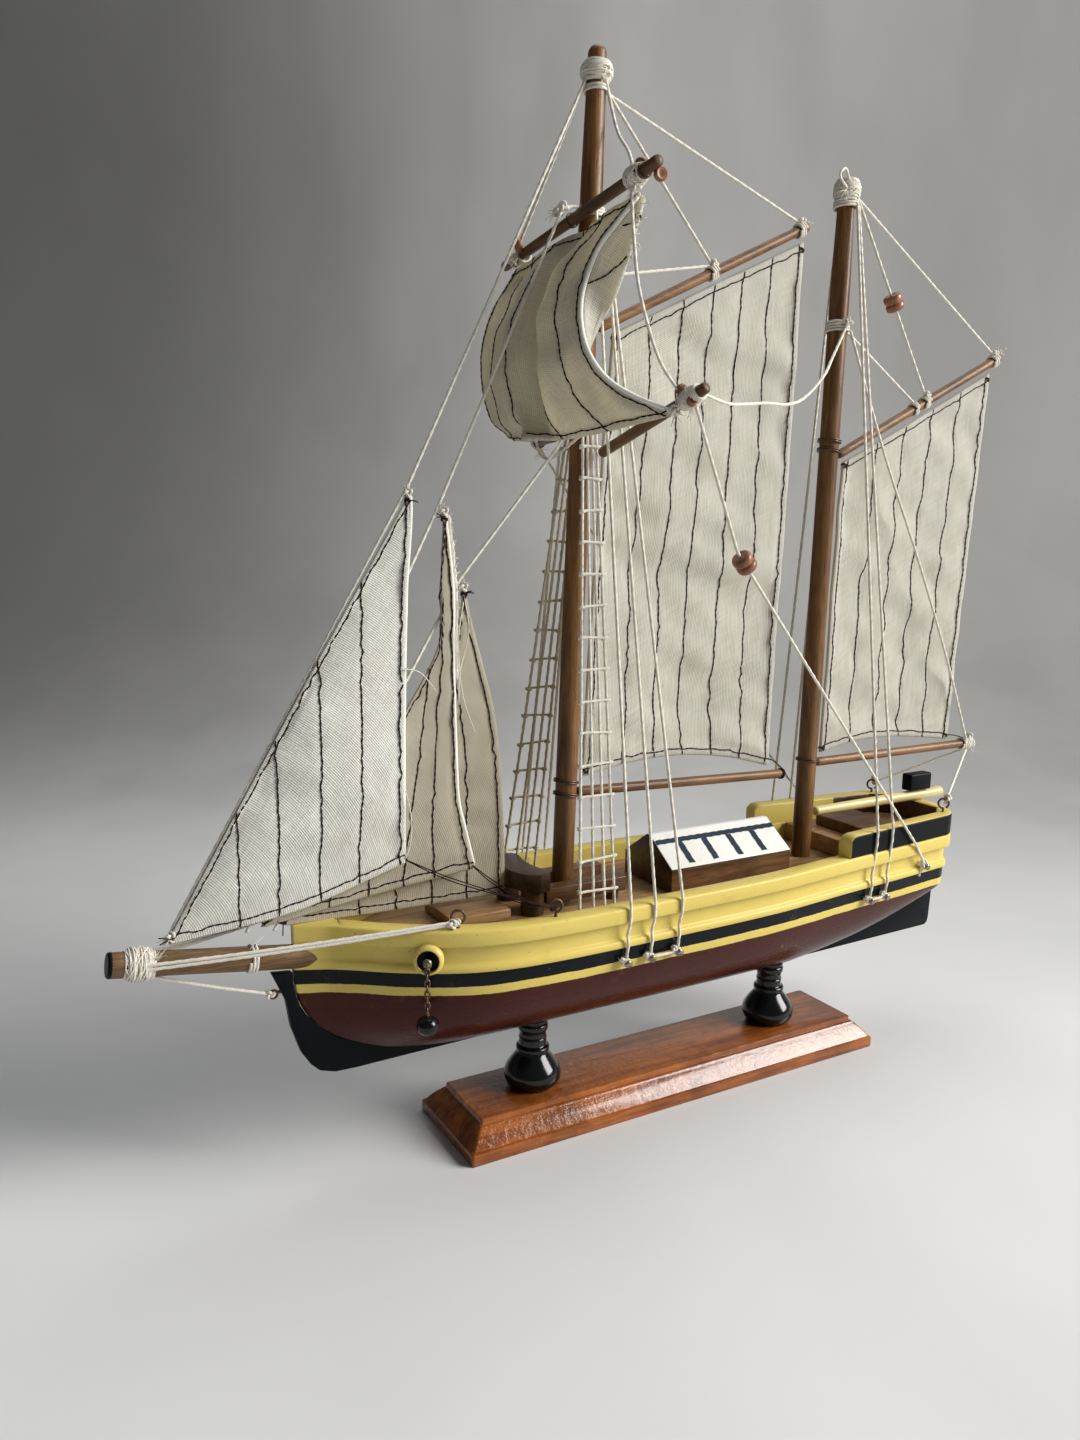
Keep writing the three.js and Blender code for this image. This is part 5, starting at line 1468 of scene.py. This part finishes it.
aloft.piece("masthead_cord", [CORD], "model", "cord", "masthead_rigging")

inner = Build()
cord_into(inner, [fore(204, 0, -3.7), (-72.6, 0, 163.2), (-126.4, 0, 72.6)])
inner.piece("inner_stay_cord", [CORD], "model", "cord", "forestay_inner")

after = Build()
fan_into(after, nails, lambda dx, y: mizzen(278, y, dx), (75, 35), MIZZEN_NAILS,
         box("quarter_bulwark")[1][2])
wraps_into(after, mizzen(278), MIZZEN_AXIS, MAST_R - 0.05, 2.4)
after.piece("mizzen_shroud_cord", [CORD], "model", "cord", "mizzen_shrouds")

# bowsprit
sprit_axis = unit(SPRIT_HEEL - SPRIT_TIP)


def on_sprit(t, y=0.0, z=0.0):
    """The point at a share of the bowsprit's length from its tip."""
    return SPRIT_TIP + (SPRIT_HEEL - SPRIT_TIP) * t + np.array((0, y, z))


bow = Build()
yarn_into(bow, on_sprit(0.13), sprit_axis, MAST_R - 0.45, 7.0, 100, 1.5, 0.4, seed=9, r=0.2)
for side in SIDE:
    eye = EYES["eye_bow_port" if side < 0 else "eye_bow_starboard"]
    for dz in (-0.55, 0.55):
        cord_into(bow, [on_sprit(0.12, side * 3.3, dz), eye + (-1.2, side * 0.4, -1.4 + dz * 0.5)], sag=0.5)
    wraps_into(bow, eye + (-0.6, 0, -1.5), (1, side * -0.4, 0.3), 0.3, 2.2, 0.42)
    knot_into(bow, eye + (-2.0, side * 0.5, -1.6), 1.3, seed=21)
# the dark cut end of the bowsprit
end = Build()
end_r = radius_of("bowsprit")
end.lathe([(0, -0.06), (end_r - 0.3, -0.06), (end_r + 0.03, 0.3), (end_r + 0.03, 0.9), (0, 0.95)],
          SPRIT_TIP, SPRIT_HEEL, 36)
end.piece("sprit_end", [BLACK], "model", "spar_wood", sharp=40)
cord_into(bow, [on_sprit(0.17, 0, -3.3), EYES["eye_stem"] + (-1.2, 0, 0.4)], sag=0.3)
knot_into(bow, EYES["eye_stem"] + (-1.0, 0, 0.2), 1.3, seed=4)
fray_into(bow, on_sprit(0.2, -2.8, 1.8), (0.2, -0.5, 1), 9, 3.4, seed=6)
bow.piece("bowsprit_cord", [CORD], "model", "cord", "bowsprit_rigging")

# halyards


def spar_point(name, t):
    """The point at a share of a spar's length."""
    a, c = stick_axis(name)
    return a + (c - a) * t


def lashed(b, name, t, turns=3, inner=1.45):
    """Turns of cord round a spar, with a knot on top."""
    a, c = stick_axis(name)
    wraps_into(b, a + (c - a) * t, c - a, inner, turns)
    knot_into(b, a + (c - a) * t + (0.3, -0.4, inner + 1.1), 1.3, seed=int(t * 100))


up = np.array((0, 0, 2.0))
b = Build()
wraps_into(b, fore(293.5), FORE_AXIS, MAST_R - 0.6, 2.2)
wraps_into(b, fore(246), FORE_AXIS, MAST_R - 0.05, 2.2)
lashed(b, "main_gaff", 0.96)
lashed(b, "main_gaff", 0.52)
cord_into(b, [fore(293.5, 0.5, 3.2), spar_point("main_gaff", 0.96) + up])
cord_into(b, [fore(293.5, -0.5, 3.2), spar_point("main_gaff", 0.52) + up])
cord_into(b, [fore(246, 0, 3.8), spar_point("main_gaff", 0.52) + up])
fray_into(b, spar_point("main_gaff", 0.97) + (1, 0, 2), (1, -0.3, 0.8), 8, 3, seed=31)
b.piece("main_halyard_cord", [CORD], "main_sail_set", "cord", "main_halyards")

b = Build()
yarn_into(b, mizzen(282.2), MIZZEN_AXIS, MAST_R - 0.5, 6.0, 90, 1.4, 0.7, seed=8, r=0.19)
wraps_into(b, mizzen(282.6), unit(MIZZEN_AXIS + (0.0, 0.35, 0)), MAST_R - 0.15, 2)
loop = smooth_path([mizzen(284, -2.5, -1.5), mizzen(287, -4, -5), mizzen(284.5, -4.4, -7.6),
                    mizzen(281.5, -4, -4)], 8)
cord_into(b, loop, 0.42)
fray_into(b, mizzen(281, -3.5, -3.6), (-0.8, -0.3, -0.5), 7, 4, seed=44)
lashed(b, "mizzen_gaff", 0.96)
lashed(b, "mizzen_gaff", 0.52)
halyard = [mizzen(282, -0.5, 3.5), spar_point("mizzen_gaff", 0.52) + up]
cord_into(b, [mizzen(282, 0.5, 3.5), spar_point("mizzen_gaff", 0.96) + up])
cord_into(b, halyard)
fray_into(b, spar_point("mizzen_gaff", 0.97) + (1, -0.5, 2), (0.6, -0.2, 1), 9, 3.4, seed=32)
b.piece("mizzen_halyard_cord", [CORD], "model", "cord", "mizzen_halyards")

YARD_TIP = spar_point("lower_yard_port", 0.0)
if YARD_TIP[1] > spar_point("lower_yard_port", 1.0)[1]:
    YARD_TIP = spar_point("lower_yard_port", 1.0)
YARD_ROOT = spar_point("lower_yard_port", 0.0) + spar_point("lower_yard_port", 1.0) - YARD_TIP
BOOM_TIP = spar_point("mizzen_boom", 0.965)
b = Build()
wraps_into(b, mizzen(241.6), MIZZEN_AXIS, MAST_R - 0.05, 4)
knot_into(b, mizzen(242.4, -4.3, 0), 1.7, seed=51)
tip = YARD_TIP + (YARD_ROOT - YARD_TIP) * 0.1
wraps_into(b, tip, YARD_ROOT - YARD_TIP, 1.5, 4)
slack = [mizzen(241, -3.9), (50.5, -9, 230.6), (40.3, -16, 223.0), (30, -19.5, 215.8), (21.4, -22, 213),
                     (10, -26, 212.2), (-0.2, -30, 210.9), (-12, -35.5, 209.8), tip + (1.6, 1.2, 1.0)]
free_cord("slack_line", slack)
cord_into(b, [mizzen(241, 0.3, 3.6), spar_point("mizzen_gaff", 0.45) + up])
wraps_into(b, spar_point("mizzen_gaff", 0.45), (2, 0, 1), 1.45, 2)
free_cord("topping_lift", [mizzen(240.6, -2.6, 3.0), (80, -4.4, 203), (99, -5, 168), (118, -4.2, 133),
                           BOOM_TIP + (-2.4, -1.6, 1.4)], 8)
wraps_into(b, BOOM_TIP + (-3.0, 0, 0), (1, 0, 0), 1.5, 2)
b.piece("mizzen_mid_cord", [CORD], "model", "cord", "mizzen_mid_rigging")


def make_brace(side):
    """The line from a yard's end down to its nail near the stern."""
    name = "port" if side < 0 else "starboard"
    yard = "lower_yard_" + name
    a, c = stick_axis(yard)
    outer, root = (a, c) if abs(a[1]) > abs(c[1]) else (c, a)
    start = outer + (root - outer) * 0.12
    b = Build()
    wraps_into(b, start, root - outer, 1.5, 4)
    foot = np.array((BRACE_NAIL_X, -side * outside(BRACE_NAIL_X, -2.1), BRACE_NAIL_Z))
    path = [start + (0.6, 0, -1.6), (-5, side * 34, 171), (86, -side * outside(86, 0.9), 73.6),
            foot + (-0.6, side * 1.7, 0.8)]
    cord_into(b, path)
    wraps_into(b, foot + (0, side * 1.2, 0), (0, side, 0), 0.55, 1.6, 0.42, 0.6)
    knot_into(b, foot + (-1.2, side * 1.5, 1.2), 1.5, seed=61)
    nail_into(nails, foot + (0, side * 2.0, 0), (0, side, 0))
    cord_into(b, [foot + (-1.2, side * 1.2, 0.6), foot + (-1.9, side * 0.9, -1.2),
                  foot + (-2.0, side * 0.8, -3.4)], 0.5, 0.4)
    fray_into(b, start + (0, side * -1, -2), (0.3, side * 0.3, -1), 8, 4, seed=62)
    b.piece("brace_%s_cord" % name, [CORD], "model", "cord", "brace_" + name)


for side in SIDE:
    make_brace(side)


def make_bead(node, along_cord):
    """A turned bead with a groove round its middle, threaded on a cord."""
    p = node_points(node)
    centre = (p.min(0) + p.max(0)) / 2
    axis = unit(along_cord)
    h, r, hole = 5.2, 2.95, 0.72
    profile = [(hole, 0.25), (1.2, 0.02), (r * 0.72, 0.0), (r * 0.9, 0.25), (r, 0.8), (r, 1.9),
               (r * 0.93, 2.3), (r * 0.84, 2.5),
               (r * 0.83, 2.75), (r * 0.93, 2.95), (r, 3.3), (r, 4.4), (r * 0.9, 4.95), (r * 0.72, 5.2),
               (1.2, 5.18), (hole, 4.95)]
    b = Build()
    b.lathe(profile, centre - axis * h / 2, centre + axis * h / 2, 40)
    b.piece(node + "_finish", [BEAD], "model", "bead_wood", node, sharp=60)


make_bead("brace_bead_port", (96.0, 11.0, -93.0))
make_bead("halyard_bead", halyard[1] - halyard[0])

b = Build()
wraps_into(b, BOOM_TIP, (1, 0, 0), 1.5, 4.5)
for side in SIDE:
    eye = EYES["eye_stern_port" if side < 0 else "eye_stern_starboard"]
    cord_into(b, [BOOM_TIP + (0, 0, -1.9), eye + (1.2, 0, 0.9)])
    wraps_into(b, eye + (1.3, 0, 0.9), (0.4, side * 0.6, 1), 0.3, 2.2, 0.42)
    knot_into(b, eye + (1.6, side * 0.4, 2.0), 1.3, seed=71)
knot_into(b, BOOM_TIP + (0.4, -0.6, 2.3), 1.6, seed=72)
fray_into(b, BOOM_TIP + (0.8, -1, -2.2), (0.4, -0.3, -1), 8, 3, seed=73)
b.piece("mizzen_sheet_cord", [CORD], "model", "cord", "mizzen_sheets")

nails.piece("side_nails", [STEEL], "model", "wire")

# ---------------------------------------------------------------- wire loops and black threads

b = Build()
for at, axis, lean in ((mizzen(203), MIZZEN_AXIS, 0.15), (mizzen(206), MIZZEN_AXIS, 0.15),
                       (mizzen(101), MIZZEN_AXIS, 0.1), (fore(99.6), FORE_AXIS, 0.12),
                       (fore(103.5), FORE_AXIS, 0.12), (fore(232.6), FORE_AXIS, 0.12)):
    loop_into(b, at, unit(axis + (lean, 0, 0)), MAST_R + 0.45, 0.24, turns=1.6)
b.piece("mast_wire_loops", [WIRE], "model", "wire")

b = Build()
for at, axis, r in (((-39.6, -33.6, 263.9), (0.9, 0.2, 0.3), 2.1), ((-38.6, -40.2, 260.6), (0.1, 1, 0), 1.7),
                    ((-40.2, 28.2, 258.6), (0.9, -0.3, 0.3), 2.0), ((-40.0, 31.5, 255.0), (0.1, 1, 0), 1.5),
                    ((-28.6, -42.4, 208.6), (0.4, 1, -0.3), 1.4),
                    ((-29.4, -39.0, 211.6), (1, 0.2, 0.3), 1.5),
                    ((-40.6, 11.0, 203.4), (0.5, 1, 0.2), 1.8)):
    axis = unit(axis)
    profile = [(0.8, 0.1), (r * 0.8, 0.0), (r, 0.45), (r, 1.35), (r * 0.8, 1.8), (0.8, 1.7)]
    b.lathe(profile + profile[:1], np.array(at) - axis * 0.9, np.array(at) + axis, 24)
b.piece("yard_beads", [BEAD], "model", "bead_wood", sharp=60)

b = Build()
for yard, spots in (("upper_yard", (0.075, 0.5, 0.92)), ("lower_yard_port", (0.07,)),
                    ("lower_yard_starboard", (0.8,))):
    a, c = stick_axis(yard)
    for t in spots:
        loop_into(b, a + (c - a) * t, unit(c - a + np.array((1.5, 0, 0.8))), 1.85, 0.2, turns=1.4, pitch=0.5)
b.piece("yard_wire_loops", [WIRE], "model", "wire")

# slack ends under the topsail and the fluffy knots on its yards
b = Build()
cord_into(b, smooth_path([(-41.0, 15.3, 202.7), (-41.6, 11.5, 198.2), (-41.6, 6.8, 196.4),
                          (-41.6, 1.0, 197.6),
                          (-41.2, -5.0, 200.0), (-41.0, -10.5, 202.2)], 10), 0.45)
knot_into(b, (-41.2, 15.0, 203.2), 1.5, seed=91)
for yard, t, seed in (("lower_yard_port", 0.15, 95), ("upper_yard", 0.12, 96)):
    a, c = stick_axis(yard)
    if abs(c[1]) > abs(a[1]) or (yard == "upper_yard" and c[1] < a[1]):
        a, c = c, a
    yarn_into(b, a + (c - a) * t, c - a, 1.45, 6.0, 44, 1.2, 0.7, seed=seed, r=0.18)
for at, out in (((-40.8, -33.0, 259.4), (0.2, 0.2, -1)), ((-41.2, 29.5, 254.6), (0, 0.2, -1)),
                ((-30.0, -37.4, 206.6), (0.2, 0.6, -1)), ((-41.2, 3.6, 262.0), (-0.5, 1, 0.3))):
    knot_into(b, at, 1.5, seed=int(at[2]))
    fray_into(b, at, out, 16, 3.4, seed=int(at[2]) + 1, spread=0.7)
for k in range(9):
    fray_into(b, np.array((-39.6, -33.6 + 0.55 * k, 255.4 - 1.7 * k)), (0.6, -0.6, -0.1), 3, 2.2,
              seed=200 + k, spread=0.6)
b.piece("topsail_ties", [CORD], "model", "cord")


def thread_into(b, points, radius=0.16, per=10, step=0.6):
    """A thin thread along a smooth curve through points."""
    b.tube(resample(smooth_path(points, per), step), radius, 6)


def corner_wraps(b, sail, corners):
    """Thread wound round a sail's corners."""
    for corner in corners:
        wraps_into(b, BY_NAME[sail].at(*corner), (0.5, 0, 1), 0.8, 2.5, 0.18, 0.35)


threads = Build()
waist = EYES["eye_waist_port"]
for sail, f in (("outer_jib", 0.0), ("inner_jib", 0.4), ("staysail", 0.7)):
    clew = BY_NAME[sail].at(0.985, 0.985, 1.2)
    for k in range(2):
        near = waist + np.array((-5.5, 0.3 * k, 1.2 - 0.5 * f))
        thread_into(threads, [clew, clew + (near - clew) * 0.4 + (0, 0.3 * k, -0.9 * (k + 1)), near,
                              waist + (0.2, 0, 0.2 * k)], per=12)
for k in range(3):
    wraps_into(threads, waist + np.array((-1.4 + k * 0.5, 0, -0.6)), (1, 0.2 * k, 0.2), 0.3, 2, 0.2, 0.35)
for sail, corner, out in (("outer_jib", (0.99, 0.01), (-0.4, -1, 0.5)),
                          ("inner_jib", (0.99, 0.01), (-1, -0.6, 0.4)),
                          ("staysail", (0.99, 0.01), (0.6, -0.6, 0.9)),
                          ("outer_jib", (0.0, 0.5), (-1, -0.3, 0.3)),
                          ("staysail", (0.0, 0.5), (-0.3, -1, 0.3))):
    at = BY_NAME[sail].at(*corner)
    for k in range(3):
        d = unit(np.array(out, float) + RNG.normal(0, 0.5, 3))
        threads.tube([at - d * 0.6, at + d * 1.6, at + d * 3.2 + (0, 0, -0.5)], 0.17, 5)
    wraps_into(threads, at, unit(np.array((0.3, 0.2, 1.0))), 0.7, 2.5, 0.18, 0.35)
threads.piece("jib_sheet_threads", [THREAD], "model", "cord")

tufts = Build()
for sail, corner, out in (("outer_jib", (0.99, 0.0), (0, -0.2, 1)),
                          ("inner_jib", (0.99, 0.0), (-0.2, -0.2, 1)),
                          ("staysail", (0.99, 0.0), (0.1, -0.2, 1)),
                          ("outer_jib", (0.0, 0.5), (-1, 0, -0.4))):
    at = BY_NAME[sail].at(*corner)
    knot_into(tufts, at + (0, 0, 0.9), 1.4, seed=81)
    fray_into(tufts, at + (0, 0, 1.0), out, 14, 3.0, seed=82, spread=0.45)
hem_back = [BY_NAME["inner_jib"].at(1.0, t) + (0.9, 0.9, 0) for t in np.linspace(0.01, 0.46, 40)]
tufts.tube(hem_back, 1.05 + 0.25 * RNG.normal(0, 0.5, 40), 8, flat=0.3, up=np.array((1.0, -0.6, 0)))
for k, p in enumerate(hem_back[::2]):
    fray_into(tufts, p + (0.8, -0.3, 0), (1, -0.5, RNG.normal(0, 0.8)), 4, 1.3, seed=300 + k)
for path in ([(-90.6, -3.4, 140), (-86, -3.8, 138.6), (-81.4, -4, 133.2)],
             [(-72.6, -2.0, 157), (-74.4, -2.6, 146), (-73.2, -2.6, 132), (-69.4, -2.4, 121)],
             [(-72.2, -2.0, 158), (-71.2, -2.4, 149), (-74.0, -2.6, 138), (-74.4, -2.8, 129)],
             [(-91.2, -5.2, 107), (-89.9, -5.6, 100), (-90.2, -5.6, 93), (-91.6, -5.4, 88.6)]):
    thread_into(tufts, path)
tufts.piece("jib_head_tufts", [CORD], "model", "cord")

main_threads = Build()
boom_end = stick_axis("main_boom")[1]
clew = BY_NAME["mainsail"].at(0.99, 0.99)
thread_into(main_threads, [clew, clew + (2.5, -0.6, -0.5), boom_end + (-1.2, -0.8, 1.9),
                           boom_end + (-0.8, 0, 1.6)], 0.2, 8, 0.5)
wraps_into(main_threads, boom_end + (-1.0, 0, 0), (1, 0, 0), 1.45, 3, 0.2, 0.4)
corner_wraps(main_threads, "mainsail", ((0.01, 0.01), (0.99, 0.01), (0.01, 0.99)))
main_threads.piece("main_threads", [THREAD], "main_sail_set", "cord")

mizzen_threads = Build()
corner_wraps(mizzen_threads, "mizzen_sail", ((0.01, 0.01), (0.99, 0.01), (0.01, 0.99), (0.99, 0.99)))
clew = BY_NAME["mizzen_sail"].at(0.99, 0.99)
thread_into(mizzen_threads, [clew, clew + (5, -0.5, -0.6), BOOM_TIP + (-1.6, -0.6, 1.8)], 0.2, 8, 0.5)
mizzen_threads.piece("mizzen_threads", [THREAD], "model", "cord")

# ---------------------------------------------------------------- floor and light

paper = Graph("paper", roughness=0.85)
shade = paper.mix(paper.noise(9, 4), (0.66, 0.66, 0.66), (0.74, 0.74, 0.735))
far = paper.plus(paper.times(paper.axis(0), 0.6), paper.times(paper.axis(1), 0.8))
left = paper.plus(paper.times(paper.axis(0), -0.8), paper.times(paper.axis(1), 0.6))
wall = paper.step(far, -0.05, 0.62)
# The wall is given a darker grey than the floor: painted shade for the wall, which the window light only
# grazes.
shade = paper.mix(wall, shade, (0.35, 0.345, 0.335))
# Darker towards the left, most up the wall: painted falloff of the window light.
painted_dimming = paper.plus(0.06, paper.times(wall, 0.72))
shade = paper.mix(paper.times(paper.step(left, 0.02, 0.6), painted_dimming), shade, (0.09, 0.09, 0.088))
# Slightly darker towards the right, more up the wall: painted shade that tones down the window's pool of
# light.
right = paper.minus(1.0, paper.step(left, -0.35, 0.1))
painted_dimming = paper.plus(0.17, paper.times(wall, 0.36))
shade = paper.mix(paper.times(right, painted_dimming), shade, (0.10, 0.10, 0.098))
# Soft darker streaks drawn out upwards on the wall: painted shade of the paper's folds.
streak = paper.step(paper.noise(8, 3, 0.5, paper.stretched((1, 1, 0.28))), 0.4, 0.65)
shade = paper.mix(paper.times(paper.times(streak, wall), 0.2), shade, (0.14, 0.14, 0.138))
paper.color(shade)
crumple = paper.noise(5, 2, 0.4)
paper.bump(paper.noise(260, 3), 0.05, 0.0003)
paper.bump(crumple, 0.14, 0.05)
profile = [(-1500, 0), (330, 0)]
profile += [(330 + 560 * math.sin(a), 560 - 560 * math.cos(a)) for a in np.linspace(0.06, math.pi / 2, 22)]
profile += [(890, 1600)]
# the sweep runs straight away from the camera
away = unit(np.array((AHEAD.x, AHEAD.y, 0)))
across = np.array((-away[1], away[0], 0))
rows = []
for d, z in profile:
    rows.append([away * d + across * w + np.array((0, 0, z)) for w in (-3000, 0, 3000)])
flat = [p for row in rows for p in row]
faces = [(i * 3 + k, i * 3 + k + 1, (i + 1) * 3 + k + 1, (i + 1) * 3 + k)
         for i in range(len(rows) - 1) for k in (0, 1)]
mesh = bpy.data.meshes.new("paper_sweep")
mesh.from_pydata([tuple(np.array(p) * MM) for p in flat], [], [f[::-1] for f in faces])
mesh.materials.append(paper.mat)
mesh.polygons.foreach_set("use_smooth", [True] * len(mesh.polygons))
floor = bpy.data.objects.new("paper_sweep", mesh)
bpy.context.collection.objects.link(floor)


def area_light(name, place, aim, size, power, color):
    """A soft rectangular light aimed at a point."""
    light = bpy.data.lights.new(name, "AREA")
    light.shape = "RECTANGLE"
    light.size, light.size_y = size
    light.energy = power
    light.color = color
    obj = bpy.data.objects.new(name, light)
    bpy.context.collection.objects.link(obj)
    direction = Vector(aim) - Vector(place)
    obj.location = place
    obj.rotation_euler = direction.to_track_quat("-Z", "Y").to_euler()
    return obj


area_light("window", (1.25, -0.98, 0.95), (0.0, 0.0, 0.13), (0.9, 1.1), 54, (1.0, 0.985, 0.96))
area_light("ceiling", (0.35, 0.30, 1.5), (0.0, 0.0, 0.0), (1.0, 1.0), 7, (0.96, 0.98, 1.0))
world = bpy.data.worlds.new("room")
world.use_nodes = True
world.node_tree.nodes["Background"].inputs["Color"].default_value = (0.80, 0.84, 0.88, 1)
world.node_tree.nodes["Background"].inputs["Strength"].default_value = 0.11
bpy.context.scene.world = world
bpy.context.scene.view_settings.view_transform = "Standard"
